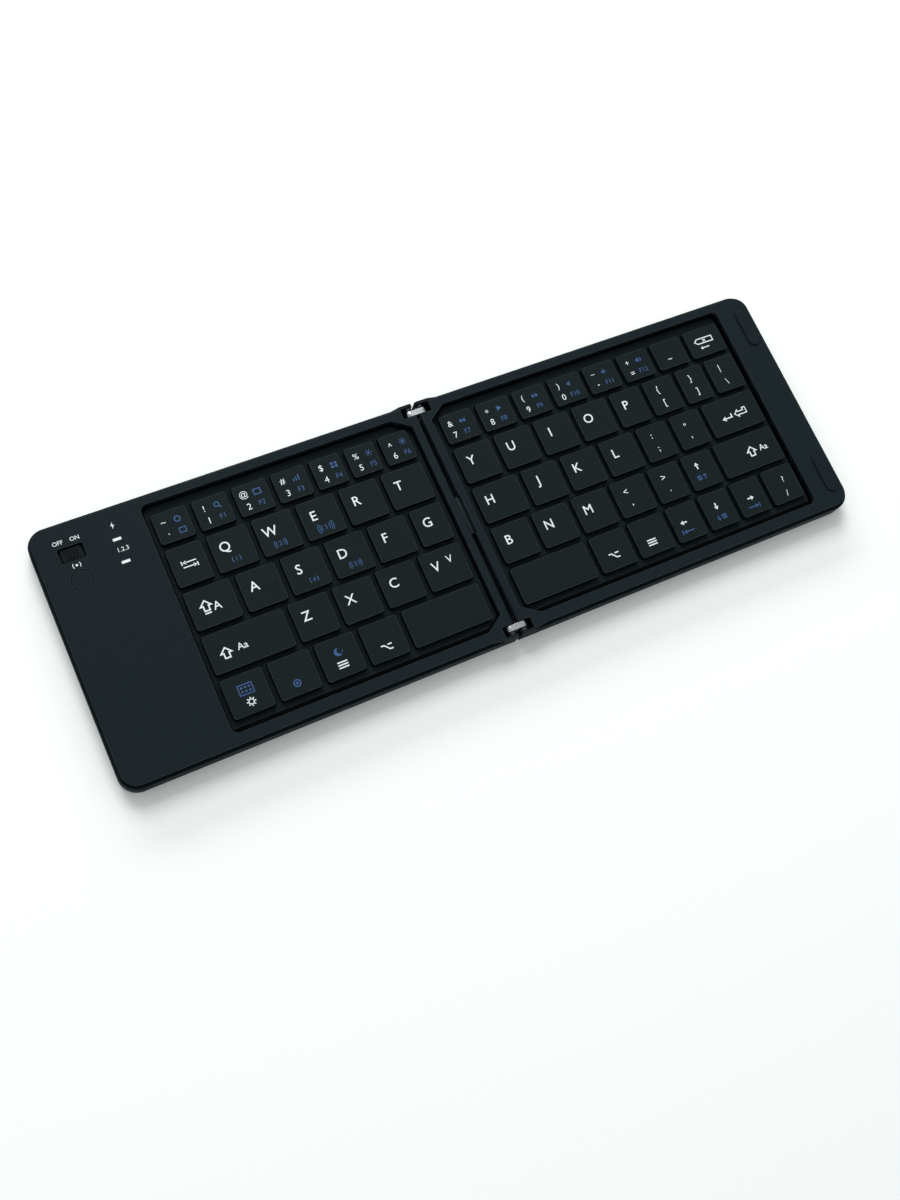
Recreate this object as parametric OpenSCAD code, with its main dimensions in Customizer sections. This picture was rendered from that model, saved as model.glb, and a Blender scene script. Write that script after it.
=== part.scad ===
// Folding keyboard in two halves, open and face up, with its feet on the table.
// Origin: centre of the fold line at table level. +X runs to the right half, +Y to the rear, +Z up.
// Each half is described by how far things lie from the fold (u) and mirrored for the left side.

/* [Halves] */
// Width of each half, from its outer side to the fold
half_w = 148.7; // [146:0.1:156]
// Depth from the front side to the rear side
depth = 97.6; // [96:0.1:106]
// Gap between the two halves when they lie open
fold_gap = 1.4; // [1.2:0.1:2]
// Radius of the outer corners of the bases
corner_r = 7; // [5:0.5:10]
// Radius of the rounded edges along the fold
fold_edge_r = 0.9; // [0.8:0.05:1.1]

/* [Bases] */
// Thickness of the floors
floor_t = 1.2; // [1.2:0.1:1.6]
// Thickness of the side walls
wall = 2.2; // [2:0.1:2.6]
// Thickness of the walls along the fold
fold_wall = 1.2; // [1:0.1:1.4]
// How far the bases stand out beyond the covers
rim = 1.1; // [0.8:0.1:1.4]
// How far the rim of the bases lies below the top of the covers
rim_drop = 1.8; // [1.6:0.1:2.2]

/* [Covers] */
// Thickness of the covers
cover_t = 1.2; // [1:0.1:1.4]
// Thickness of the walls of the key wells
well_wall = 1; // [0.8:0.1:1.2]
// Depth of the key wells, from the top of the cover to the key deck
well_depth = 3; // [2.8:0.1:3.2]
// Radius of the outer corners of the key wells
well_r = 2.5; // [1.5:0.1:3]
// Width of the cover between the front edge and the key well
front_border = 4.1; // [4:0.1:5]
// Width of the cover between the rear edge and the key well
rear_border = 3; // [2.8:0.1:3.6]
// Distance from the outer side of the right half to its key well
outer_border = 15; // [14:0.1:17]
// Width of the cover between the fold and the key well
fold_border = 3.2; // [3.2:0.1:4]
// Length, along the front and rear borders, of the slanted corners of the wells beside the hinges
slant_u = 7; // [7:0.1:8]
// Length, along the fold, of the slanted corners of the wells beside the hinges
slant_y = 4.8; // [4.8:0.1:5.4]
// Height of the fine groove between cover and base
parting_h = 0.4; // [0.2:0.1:0.6]
// Depth of the fine groove between cover and base
parting_d = 0.4; // [0.2:0.1:0.6]

/* [Keys] */
// Gap between the tops of neighbouring keys
cap_gap = 2.4; // [2.4:0.1:2.8]
// Depth of the keys in the number row
number_cap_d = 11.6; // [10.5:0.1:12]

// The widths down to the right space key's are counted in letter keys, with the gap beside the key

// Width of the number keys on the left half
left_number_units = 0.888; // [0.87:0.001:0.9]
// The same for the last keys of the left number row
left_small_units = 0.818; // [0.8:0.001:0.83]
// Width of the number keys on the right half
right_number_units = 0.9206; // [0.91:0.0001:0.93]
// Width of the tab key
tab_units = 0.894; // [0.88:0.001:0.92]
// Width of the caps key
caps_units = 1.135; // [1.1:0.001:1.16]
// Width of the left shift key
left_shift_units = 1.894; // [1.85:0.001:1.95]
// Width of the two keys at the left end of the front row
corner_units = 1.03; // [1:0.001:1.06]
// Width of the narrow punctuation keys
narrow_units = 0.894; // [0.88:0.001:0.92]
// Width of the arrow keys
arrow_units = 0.865; // [0.85:0.001:0.89]
// Width of the closing bracket key
bracket_units = 0.818; // [0.8:0.001:0.88]
// Width of the first key of the right home row
home_units = 1.212; // [1.18:0.001:1.24]
// Width of the right space key
space_units = 1.971; // [1.9:0.001:2]
// How far the keys stand above the deck
key_rise = 2; // [1.8:0.1:2.2]
// How far a key travels when it is pressed
key_travel = 1.4; // [1.2:0.1:1.8]
// Radius of the corners of the keys
cap_r = 1; // [0.6:0.1:1.4]
// Thickness of the tops of the keys
cap_top_t = 1; // [0.8:0.1:1.2]
// Thickness of the sides of the keys
cap_wall = 1; // [0.8:0.1:1.2]
// How far the lip at the foot of a key reaches under the deck
lip = 0.5; // [0.4:0.1:0.6]
// Thickness of that lip
lip_t = 0.45; // [0.4:0.05:0.5]
// Radius of the stem under each key
stem_r = 1.6; // [1.2:0.1:1.7]

/* [Decks and switches] */
// Thickness of the key decks
deck_t = 0.8; // [0.7:0.1:0.9]
// Width of the groove around the deck
groove_w = 0.8; // [0.6:0.05:0.9]
// Width of that groove along the front wall, where the wall hides most of it from the user
front_groove_w = 2.1; // [1.8:0.1:2.3]
// Thickness of the ledge of a deck that the cover clamps
ledge_t = 0.4; // [0.3:0.1:0.5]
// Space between the keys and the outer and inner walls of the key wells
deck_side_margin = 2.4; // [2.2:0.1:3]
// Space between the keys and the walls of the key wells along the fold
deck_fold_margin = 3; // [2.9:0.1:3.6]
// Space between the keys and the front walls of the key wells
deck_front_margin = 4.6; // [4.5:0.1:5]
// Space between the keys and the rear walls of the key wells
deck_rear_margin = 4.5; // [4.4:0.1:4.8]
// Thickness of the metal plates under the keys
plate_t = 0.4; // [0.3:0.1:0.5]
// Thickness of the contact sheets
membrane_t = 0.3; // [0.2:0.1:0.3]
// Radius of the rubber domes at their foot
dome_r = 2.8; // [2.4:0.1:3]
// Thickness of the rubber domes
dome_wall = 0.4; // [0.3:0.05:0.5]
// Width of the tail of the left contact sheet
tail_w = 12; // [8:1:16]
// How far the tail reaches under the circuit board
tail_lap = 3; // [2:0.5:5]
// Distance from the front edge of the circuit board to the tail
tail_inset = 4; // [3:0.5:6]

/* [Hinge] */
// Distance between the two pins of a hinge link
pin_spacing = 4.8; // [4.8:0.1:5.2]
// Depth of the pins below the top of the covers
pin_depth = 2; // [2:0.05:2.1]
// Radius of the pins
pin_r = 0.8; // [0.6:0.05:0.9]
// Radius of the round ends of the links
link_end_r = 1.7; // [1.6:0.05:1.8]
// Width of the links along the fold
link_w = 2.2; // [2:0.1:2.4]
// Space between the rims of the covers and the outer faces of the links
link_inset = 1.6; // [1.5:0.1:1.8]
// Space between a link and the bracket and the collar on its two sides
link_play = 0.3; // [0.2:0.05:0.3]
// Width of the collars on the pins
collar_w = 1; // [0.8:0.1:1.1]
// Radius of the collars on the pins
collar_r = 1.5; // [1.3:0.1:1.6]
// Length of the slots that hold the links, from the middle of the fold
slot_u = 5.8; // [5.6:0.1:6]
// Space below the links
slot_room = 0.3; // [0.2:0.1:0.5]
// Length of the towers that carry the outer ends of the pins, from the middle of the fold
tower_u = 11.3; // [9:0.1:12]
// Length of the bracket feet, from the middle of the fold
bracket_u = 9; // [8.8:0.1:9.2]
// Thickness of the ears of the brackets
ear_t = 1.6; // [1.4:0.1:1.7]
// Radius of the round heads of the ears
ear_r = 1.4; // [1.3:0.05:1.4]
// Thickness of the bracket feet
bracket_t = 1; // [0.8:0.1:1.2]
// How far the root of an ear reaches beyond its head
ear_root = 1; // [0.8:0.1:1.2]
// Height of the root of an ear
ear_root_h = 2; // [1.6:0.1:2.4]
// Length, away from the fold, of the slanted corner of a bracket foot
foot_slant_u = 2; // [1.8:0.1:2.2]
// Length, along the fold, of the slanted corner of a bracket foot
foot_slant_y = 1.4; // [1.3:0.1:1.6]
// How deep the pins reach into the towers
pin_seat = 0.7; // [0.5:0.1:0.8]

/* [Control panel] */
// Distance from the outer side to the slide switch
knob_inset_u = 13.35; // [12.5:0.05:14.5]
// Distance from the rear side to the slide switch
knob_inset_y = 12.4; // [11:0.1:14]
// Length of the slot of the slide switch
knob_slot_l = 9.2; // [9:0.1:10]
// Width of the slot of the slide switch
knob_slot_w = 5.6; // [5:0.1:6]
// How far the knob slides each way
knob_travel = 1; // [0.8:0.1:1.1]
// How far the knob stays below the top of the cover
knob_drop = 0.7; // [0.5:0.1:0.9]
// Radius of the corners of the slot of the slide switch
knob_slot_r = 0.8; // [0.6:0.1:1]
// Thickness of the flange of the knob under the cover
knob_flange_t = 0.5; // [0.4:0.1:0.6]
// How far this flange stands out at the ends of the slot
knob_flange_end = 0.2; // [0.1:0.1:0.3]
// How far this flange stands out at the sides of the knob
knob_flange_side = 1; // [0.9:0.1:1.2]
// Space between the knob and the long sides of its slot
knob_side_gap = 0.5; // [0.4:0.05:0.6]
// Width of the lever under the knob
lever_w = 1.6; // [1.2:0.1:2]
// How deep the lever reaches into the slide switch
lever_depth = 0.85; // [0.6:0.05:1]
// Length of the body of the slide switch
slide_switch_l = 8.8; // [8:0.1:9.6]
// Width of the body of the slide switch
slide_switch_w = 4; // [3.6:0.1:4.4]
// Height of the body of the slide switch
slide_switch_h = 2; // [1.8:0.1:2.2]
// Distance from the outer side to the push button
button_inset_u = 13.4; // [12.5:0.05:14.5]
// Distance from the rear side to the push button
button_inset_y = 22.7; // [22.3:0.1:23.3]
// Radius of the push button
button_r = 3.6; // [3:0.1:4]
// Width of the ring-shaped gap around the push button
button_gap = 0.3; // [0.2:0.05:0.4]
// How far the push button travels
button_travel = 0.5; // [0.3:0.1:0.5]
// Radius of the stem of the push button
button_stem_r = 1.1; // [0.8:0.1:1.4]
// How deep this stem reaches into the push switch
button_stem_depth = 0.3; // [0.2:0.1:0.4]
// Thickness of the flange of the push button
button_flange_t = 0.6; // [0.4:0.1:0.8]
// How far this flange stands out
button_flange = 0.8; // [0.6:0.1:1]
// Side of the body of the push switch
push_switch_w = 6; // [5:0.5:6.5]
// Height of the body of the push switch
push_switch_h = 1.4; // [1.2:0.1:1.6]
// Distance from the outer side to the two lights
light_inset_u = 29.3; // [28.4:0.1:30.4]
// Distance from the rear side to the charge light
charge_inset_y = 12.9; // [11.8:0.1:14.8]
// Distance from the rear side to the status light
status_inset_y = 21.6; // [19.8:0.1:22.8]
// Length of a light window
light_l = 3; // [2.4:0.1:3.6]
// Width of a light window
light_w = 1; // [0.9:0.1:1.4]
// Length of a diode
led_l = 1.6; // [1.2:0.1:2]
// Width of a diode
led_w = 0.8; // [0.6:0.1:1]
// Height of a diode
led_h = 0.6; // [0.4:0.1:0.8]

/* [Board and battery] */
// Space between the circuit board and the screw bosses at its two ends
board_boss_gap = 0.5; // [0.3:0.1:0.7]
// Space between the circuit board and the rear wall
board_inset = 1.2; // [1:0.1:2]
// Thickness of the circuit board
board_t = 1; // [0.8:0.1:1]
// Radius of the pegs that carry the circuit board
peg_r = 1.6; // [1.2:0.1:1.8]
// Radius of the thin ends of the pegs, which pass through the board
peg_tip_r = 0.6; // [0.5:0.1:0.8]
// How far these ends stand out above the board
peg_tip_h = 0.4; // [0.3:0.1:0.6]
// Distance from the edges of the board to the pegs
peg_inset = 2.5; // [2:0.1:3]
// Space between the battery and the line of the screw bosses at the front
battery_boss_gap = 0.4; // [0.2:0.1:1]
// Gap between the battery and the circuit board
battery_gap = 3; // [2.5:0.5:4]
// Length of the battery away from the fold
battery_l = 27; // [20:1:28]
// Depth of the battery from front to rear
battery_d = 45; // [36:1:48]
// Height of the battery
battery_h = 4; // [3:0.1:4.6]
// Radius of the corners of the battery
battery_r = 1; // [0.5:0.1:2]
// Distance from the outer side to the charging socket
socket_inset_u = 23.4; // [20:0.1:25]
// Width of the charging socket
socket_w = 7.6; // [7.4:0.1:8]
// Length of the charging socket
socket_l = 5.4; // [5:0.1:6]
// Height of the charging socket
socket_h = 2.5; // [2.4:0.1:2.5]
// How far the mouth of the socket lies inside the rear side
socket_inset = 0.4; // [0.2:0.1:0.6]
// Thickness of the shell of the socket
socket_t = 0.4; // [0.3:0.05:0.4]
// Thickness of the closed end of the socket
socket_end_t = 0.6; // [0.5:0.1:0.8]
// Width of the tongue in the socket
tongue_w = 4.4; // [4:0.1:4.8]
// Thickness of the tongue
tongue_t = 0.6; // [0.5:0.05:0.6]
// How far the tongue lies behind the mouth
tongue_inset = 1.2; // [1:0.1:1.5]

/* [Closing] */
// Length of a closing pad
pad_l = 16; // [12:0.5:18]
// Width of a closing pad
pad_w = 4.4; // [4:0.1:4.6]
// Distance from the outer side to the middle of the closing pads
pad_inset_u = 5.65; // [5.4:0.05:6.4]
// Distance from the front and rear sides to the middle of the closing pads
pad_inset_y = 15.1; // [14.8:0.1:16.8]
// How far the closing pads stand out of the cover
pad_rise = 0.6; // [0.5:0.05:0.7]
// How deep the closing pads sit in the cover
pad_sink = 0.5; // [0.4:0.1:0.6]
// Length of a magnet
magnet_l = 12; // [8:0.5:14]
// Width of a magnet
magnet_w = 3; // [2:0.1:3.2]
// Thickness of a magnet
magnet_t = 2; // [1.5:0.1:2.5]

/* [Flex cable] */
// Width of the covered flat cable across the fold
flex_w = 15.4; // [12:0.1:16]
// Its place, towards the rear
flex_y = 0.9; // [0:0.1:2]
// Thickness of the cable with its cover
flex_t = 0.8; // [0.6:0.1:0.9]
// Depth of the cable below the top of the covers, beside the fold
flex_depth = 1.4; // [1.4:0.1:1.6]
// Radius of the slack loop in the fold gap
flex_loop_r = 1; // [0.8:0.05:1.1]
// How far this loop stands above the cable beside it
flex_loop_rise = 0.9; // [0.7:0.05:1]

/* [Feet and screws] */
// Height of the feet below the bases
feet_h = 0.6; // [0.5:0.1:1]
// How deep the feet sit in the bases
feet_sink = 0.4; // [0.3:0.1:0.5]
// Length of a foot
foot_l = 14; // [10:1:18]
// Width of a foot
foot_w = 4; // [3:0.5:6]
// Distance from the sides of a half to its feet
foot_inset = 8; // [7:0.5:12]
// Radius of the screw heads
screw_head_r = 1.6; // [1.3:0.1:1.8]
// Height of the screw heads
screw_head_h = 0.5; // [0.4:0.1:0.6]
// Radius of the screws
screw_r = 0.75; // [0.6:0.05:0.8]
// Length of the screws below the heads
screw_l = 4.6; // [3.5:0.1:5]
// Radius of the screw bosses of the covers
boss_r = 2; // [1.8:0.1:2.1]
// Radius of the small screw bosses beside the hinges
small_boss_r = 1.3; // [1.2:0.05:1.3]
// Space between these bosses and the ends of the bracket feet
small_boss_gap = 0.2; // [0.1:0.05:0.2]
// Space between the screw bosses and the walls and key wells beside them
boss_gap = 0.7; // [0.4:0.1:1]
// Space between the screw bosses in the corners of the left half and the walls
corner_boss_gap = 2.2; // [2:0.1:2.4]

/* [Clearances] */
// Clearance around parts that don't move in their openings
fit_gap = 0.05; // [0.03:0.01:0.1]
// Clearance around parts that slide or are pressed
slide_gap = 0.15; // [0.1:0.01:0.2]
// Clearance around the keys in the deck
key_gap = 0.2; // [0.15:0.01:0.25]
// Clearance of the pins in the links
pin_gap = 0.05; // [0.02:0.01:0.08]
// Clearance of the pins in their ears and of the screws in their bosses
press_gap = 0.02; // [0.01:0.01:0.03]
// Clearance between the lips of the keys and the deck
lip_gap = 0.1; // [0.05:0.05:0.2]
// Space left under a key when it is pressed all the way
key_rest_gap = 0.15; // [0.1:0.05:0.3]
// Space beyond the tips of the screws
tip_gap = 0.4; // [0.2:0.1:0.6]

/* [Hidden] */
$fn = 48;
eps = 1;               // cutters run this far past the faces that they open
left_units = 6;         // width of the left block of keys, counted in letter keys
right_units = 7.5;      // the same for the right block
last_row = 4;           // the front row; the number row is row 0

// Heights above the table
base_z = feet_h;
floor_z = base_z + floor_t;
plate_z = floor_z;
membrane_z = plate_z + plate_t;
switch_z = membrane_z + membrane_t;
cap_z = switch_z + key_travel + key_rest_gap;
lip_top_z = cap_z + lip_t;
deck_under_z = lip_top_z + lip_gap;
ledge_z = deck_under_z + ledge_t;
deck_z = deck_under_z + deck_t;
key_z = deck_z + key_rise;
top_z = deck_z + well_depth;
rim_z = top_z - rim_drop;
cover_z = top_z - cover_t;
pin_z = top_z - pin_depth;
board_z = switch_z;
board_top_z = board_z + board_t;
screw_tip_z = base_z + screw_head_h + screw_l;
slide_switch_z = board_top_z + slide_switch_h;
push_switch_z = board_top_z + push_switch_h;
flex_z = top_z - flex_depth - flex_t;

// Distances from the middle of the fold (u) and from the middle of the depth (y)
fold_u = fold_gap / 2;
outer_u = fold_u + half_w;
side_y = depth / 2;
cover_y = side_y - rim;
wall_u = outer_u - wall;
wall_y = side_y - wall;
fold_wall_u = fold_u + fold_wall;
well_u = fold_u + fold_border;
keys_u = well_u + deck_fold_margin;
well_front_y = cover_y - front_border;
well_rear_y = cover_y - rear_border;
keys_front_y = -well_front_y + deck_front_margin;
keys_rear_y = well_rear_y - deck_rear_margin;
row_pitch = (keys_rear_y - number_cap_d - keys_front_y) / last_row;
key_pitch = (outer_u - outer_border - deck_side_margin + cap_gap - keys_u) / right_units;
ring_u = well_u - well_wall;
hinge_u = pin_spacing / 2;
link_y = cover_y - link_inset - link_w;
ear_y = link_y - link_play - ear_t;
collar_y = link_y + link_w + link_play;
tower_y = cover_y + fit_gap;
slot_y = link_y - link_play + fit_gap;
slot_z = pin_z - link_end_r - slot_room;
hinge_screw_u = bracket_u - small_boss_r - small_boss_gap;
hinge_screw_y = wall_y - small_boss_r - 2 * small_boss_gap;
post_y = wall_y - boss_r - boss_gap;
corner_post_u = wall_u - boss_r - corner_boss_gap;
corner_post_y = wall_y - boss_r - corner_boss_gap;
magnet_z = cover_z - magnet_t;
knob_u = outer_u - knob_inset_u;
knob_y = side_y - knob_inset_y;
button_u = outer_u - button_inset_u;
button_y = side_y - button_inset_y;
light_u = outer_u - light_inset_u;
charge_y = side_y - charge_inset_y;
status_y = side_y - status_inset_y;
socket_u = outer_u - socket_inset_u;
pad_u = outer_u - pad_inset_u;
pad_y = side_y - pad_inset_y;

function total(v, n) = n <= 0 ? 0 : v[n - 1] + total(v, n - 1);
function repeated(value, n) = [for (i = [1:n]) value];

// Widths of all keys but the last one in each row, in letter keys, from the rear row to the front
// row; the last key fills its row
left_rows = [
    concat(repeated(left_number_units, 4), repeated(left_small_units, 2)),
    concat([tab_units], repeated(1, 4)),
    concat([caps_units], repeated(1, 4)),
    concat([left_shift_units], repeated(1, 3)),
    concat(repeated(corner_units, 2), repeated(1, 2))
];
right_rows = [
    repeated(right_number_units, 7),
    concat(repeated(1, 4), repeated(narrow_units, 2), [bracket_units]),
    concat([home_units], repeated(1, 3), repeated(narrow_units, 2)),
    concat(repeated(1, 4), repeated(narrow_units, 2)),
    concat([space_units], repeated(1, 2), repeated(arrow_units, 3))
];
left_w = left_units * key_pitch;
right_w = right_units * key_pitch;

function rows(side) = side == "left" ? left_rows : right_rows;
function block_w(side) = side == "left" ? left_w : right_w;
function block_x(side) = side == "left" ? -keys_u - left_w + cap_gap : keys_u;
function well_end_u(side) = keys_u + block_w(side) - cap_gap + deck_side_margin;
function row_y(row) = keys_front_y + (last_row - row) * row_pitch;
function cap_d(row) = row == 0 ? number_cap_d : row_pitch - cap_gap;

// One key: [left edge, front edge, width, depth] of its top
function key(side, row, i) =
    let (widths = rows(side)[row])
    let (start = total(widths, i) * key_pitch)
    let (end = i < len(widths) ? total(widths, i + 1) * key_pitch : block_w(side))
    [block_x(side) + start, row_y(row), end - start - cap_gap, cap_d(row)];
function keys(side) = [for (row = [0:last_row], i = [0:len(rows(side)[row])]) key(side, row, i)];

// Nodes with keys: [name, side, row, first key, last key]
KEY_NODES = [
    ["left_number_keys", "left", 0, 0, 6],
    ["tab_key", "left", 1, 0, 0],
    ["q_to_t_keys", "left", 1, 1, 5],
    ["caps_key", "left", 2, 0, 0],
    ["a_to_g_keys", "left", 2, 1, 5],
    ["left_shift_key", "left", 3, 0, 0],
    ["z_to_v_keys", "left", 3, 1, 4],
    ["left_control_keys", "left", 4, 0, 3],
    ["left_space_key", "left", 4, 4, 4],
    ["right_number_keys", "right", 0, 0, 7],
    ["y_to_p_keys", "right", 1, 0, 4],
    ["bracket_keys", "right", 1, 5, 7],
    ["h_to_l_keys", "right", 2, 0, 3],
    ["quote_keys", "right", 2, 4, 5],
    ["enter_key", "right", 2, 6, 6],
    ["b_to_stop_keys", "right", 3, 0, 4],
    ["up_key", "right", 3, 5, 5],
    ["right_shift_key", "right", 3, 6, 6],
    ["right_space_key", "right", 4, 0, 0],
    ["right_control_keys", "right", 4, 1, 2],
    ["left_arrow_key", "right", 4, 3, 3],
    ["down_key", "right", 4, 4, 4],
    ["right_arrow_key", "right", 4, 5, 5],
    ["slash_key", "right", 4, 6, 6]
];

// Screws beside the keys: [u, y]; the two beside the hinges are added to them
function beside_well(side) = well_end_u(side) + well_wall + boss_gap + boss_r;
left_posts = [[corner_post_u, corner_post_y], [corner_post_u, -corner_post_y],
              [beside_well("left"), post_y], [beside_well("left"), -post_y]];
right_posts = [[beside_well("right"), post_y], [beside_well("right"), -post_y],
               [(well_end_u("right") + wall_u) / 2, 0]];
hinge_posts = [[hinge_screw_u, hinge_screw_y], [hinge_screw_u, -hinge_screw_y]];
function posts(side) = concat(side == "left" ? left_posts : right_posts, hinge_posts);

// The battery lies in the front of the left half, midway between the key well and the magnets, and
// the circuit board behind it, between the screw bosses
battery_u = (well_end_u("left") + well_wall + pad_u - magnet_w / 2) / 2;
battery_front_y = -corner_post_y + boss_r + battery_boss_gap;
battery_rear_y = battery_front_y + battery_d;
board_front_y = battery_rear_y + battery_gap;
board_rear_y = wall_y - board_inset;
board_inner_u = beside_well("left") + boss_r + board_boss_gap;
board_outer_u = corner_post_u - boss_r - board_boss_gap;
board_pegs = [[board_inner_u + peg_inset, board_front_y + peg_inset],
              [board_outer_u - peg_inset, board_front_y + peg_inset],
              [board_inner_u + peg_inset, board_rear_y - peg_inset]];

// Puts what is described by its distance from the fold on the side that is asked for
module on_side(side) {
    if (side == "left") mirror([1, 0, 0]) children();
    else children();
}

// Makes the same thing at the rear and, mirrored, at the front
module at_both_ends() {
    children();
    mirror([0, 1, 0]) children();
}

// A block from its lowest to its highest corner
module block(low, high) {
    translate(low) cube(high - low);
}

// A round bar along Y, from y0 to y1, at a place [u, z]
module bar(place, y0, y1, r) {
    translate([place[0], y1, place[1]]) rotate([90, 0, 0]) cylinder(r = r, h = y1 - y0);
}

// A flat outline with rounded corners
module rounded(x0, x1, y0, y1, r) {
    translate([x0 + r, y0]) square([x1 - x0 - 2 * r, y1 - y0]);
    translate([x0, y0 + r]) square([x1 - x0, y1 - y0 - 2 * r]);
    for (x = [x0 + r, x1 - r], y = [y0 + r, y1 - r]) translate([x, y]) circle(r = r);
}

// A flat outline with half-round ends, as long as l along X
module racetrack(l, w) {
    square([l - w, w], center = true);
    for (x = [w - l, l - w]) translate([x / 2, 0]) circle(r = w / 2);
}

// Outline of a half, drawn in by d from its sides: square at the fold and round at the outer corners
module half_outline(d, fold_side) {
    difference() {
        rounded(fold_side - corner_r, outer_u - d, -side_y + d, side_y - d, corner_r - d);
        translate([fold_side - 2 * corner_r, -side_y]) square([2 * corner_r, depth]);
    }
}

// Outline of a key well, widened by g: its two corners beside the hinges are slanted
module well_outline(side, g) {
    slant = sqrt(slant_u * slant_u + slant_y * slant_y);
    cut_u = slant_u + g - g * (slant - slant_u) / slant_y;
    cut_y = slant_y + g - g * (slant - slant_y) / slant_u;
    low_u = well_u - g;
    rear = well_rear_y + g;
    front = -well_front_y - g;
    difference() {
        rounded(low_u - well_r, well_end_u(side) + g, front, rear, well_r);
        translate([low_u - 2 * well_r, front]) square([2 * well_r, rear - front]);
        polygon([[low_u - eps, rear + eps], [low_u + cut_u + eps * cut_u / cut_y, rear + eps],
                 [low_u - eps, rear - cut_y - eps * cut_y / cut_u]]);
        polygon([[low_u - eps, front - eps], [low_u + cut_u + eps * cut_u / cut_y, front - eps],
                 [low_u - eps, front + cut_y + eps * cut_y / cut_u]]);
    }
}

// Rounds the top edge along the fold when it is taken away
module fold_edge() {
    difference() {
        block([fold_u - eps, -side_y - eps, top_z - fold_edge_r],
              [fold_u + fold_edge_r, side_y + eps, top_z + eps]);
        bar([fold_u + fold_edge_r, top_z - fold_edge_r], -side_y - 2 * eps, side_y + 2 * eps,
            fold_edge_r);
    }
}

// The space around a hinge link at the rear end of the fold
module link_slot() {
    block([fold_u - eps, slot_y, slot_z], [slot_u, tower_y, top_z + eps]);
}

module base(side) {
    on_side(side) color("#2b2f36") difference() {
        union() {
            translate([0, 0, base_z]) linear_extrude(rim_z - base_z) half_outline(0, fold_u);
            block([fold_u, -ear_y, floor_z], [fold_wall_u, ear_y, cover_z]);
            at_both_ends() translate([0, 0, rim_z]) linear_extrude(top_z - rim_z)
                polygon([[fold_u, tower_y], [fold_u, side_y], [slot_u, side_y], [tower_u, tower_y]]);
        }
        translate([0, 0, floor_z]) linear_extrude(rim_z - floor_z + fit_gap)
            half_outline(wall, fold_wall_u);
        at_both_ends() {
            block([fold_u - eps, ear_y - slide_gap, floor_z], [slot_u, wall_y, cover_z]);
            link_slot();
            bar([hinge_u, pin_z], tower_y - eps, tower_y + pin_seat + fit_gap, pin_r + fit_gap);
        }
        block([fold_u - eps, flex_y - flex_w / 2 - slide_gap, flex_z - slide_gap],
              [fold_wall_u + eps, flex_y + flex_w / 2 + slide_gap, cover_z + eps]);
        fold_edge();
        for (p = posts(side)) translate([p[0], p[1], base_z - eps]) {
            cylinder(r = screw_r + slide_gap, h = floor_t + 2 * eps);
            cylinder(r = screw_head_r + slide_gap, h = screw_head_h + slide_gap + eps);
        }
        feet_places() translate([0, 0, base_z - eps]) linear_extrude(feet_sink + eps)
            racetrack(foot_l + 2 * fit_gap, foot_w + 2 * fit_gap);
        if (side == "left")
            block([socket_u - socket_w / 2 - slide_gap, wall_y - eps, board_top_z - slide_gap],
                  [socket_u + socket_w / 2 + slide_gap, side_y + eps, board_top_z + socket_h + slide_gap]);
    }
    if (side == "left") on_side(side) color("#2b2f36") for (p = board_pegs)
        translate([p[0], p[1], floor_z]) {
            cylinder(r = peg_r, h = board_z - floor_z);
            cylinder(r = peg_tip_r, h = board_top_z + peg_tip_h - floor_z);
        }
}

// The places of the four feet of a half
module feet_places() {
    for (u = [fold_u + foot_inset + foot_l / 2, outer_u - foot_inset - foot_l / 2])
        at_both_ends() translate([u, side_y - foot_inset - foot_w / 2, 0]) children();
}

// A boss under the cover, with its screw hole
module cover_boss(place, r, z) {
    translate([place[0], place[1], z]) cylinder(r = r, h = cover_z - z);
}

module cover(side) {
    on_side(side) color("#31353d") difference() {
        union() {
            translate([0, 0, cover_z]) linear_extrude(cover_t) half_outline(rim, fold_u);
            difference() {
                translate([0, 0, rim_z]) linear_extrude(cover_z - rim_z) half_outline(rim, fold_u);
                translate([0, 0, rim_z - eps]) linear_extrude(cover_z - rim_z + eps)
                    half_outline(wall, fold_u - eps);
            }
            translate([0, 0, ledge_z]) linear_extrude(cover_z - ledge_z) well_outline(side, well_wall);
            for (p = side == "left" ? left_posts : right_posts) cover_boss(p, boss_r, floor_z);
            for (p = hinge_posts) cover_boss(p, small_boss_r, floor_z + bracket_t);
        }
        translate([0, 0, ledge_z - eps]) linear_extrude(top_z - ledge_z + 2 * eps) well_outline(side, 0);
        difference() {
            translate([0, 0, rim_z - eps]) linear_extrude(parting_h + eps)
                half_outline(0, fold_u - eps);
            translate([0, 0, rim_z - 2 * eps]) linear_extrude(parting_h + 3 * eps)
                half_outline(rim + parting_d, fold_u - 2 * eps);
        }
        at_both_ends() {
            link_slot();
            block([fold_u - eps, ear_y - slide_gap, cover_z - eps],
                  [hinge_u + ear_r + slide_gap, slot_y + fit_gap, pin_z + ear_r + slide_gap]);
        }
        block([fold_u - eps, flex_y - flex_w / 2 - slide_gap, cover_z - eps],
              [flex_loop_r + 2 * slide_gap, flex_y + flex_w / 2 + slide_gap, top_z + eps]);
        fold_edge();
        for (p = posts(side)) translate([p[0], p[1], floor_z - eps])
            cylinder(r = screw_r + press_gap, h = screw_tip_z + tip_gap - floor_z + eps);
        if (side == "left") panel_openings();
        if (side == "right") pad_places() translate([0, 0, top_z - pad_sink])
            linear_extrude(pad_sink + eps) pad_outline(fit_gap);
    }
}

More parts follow.
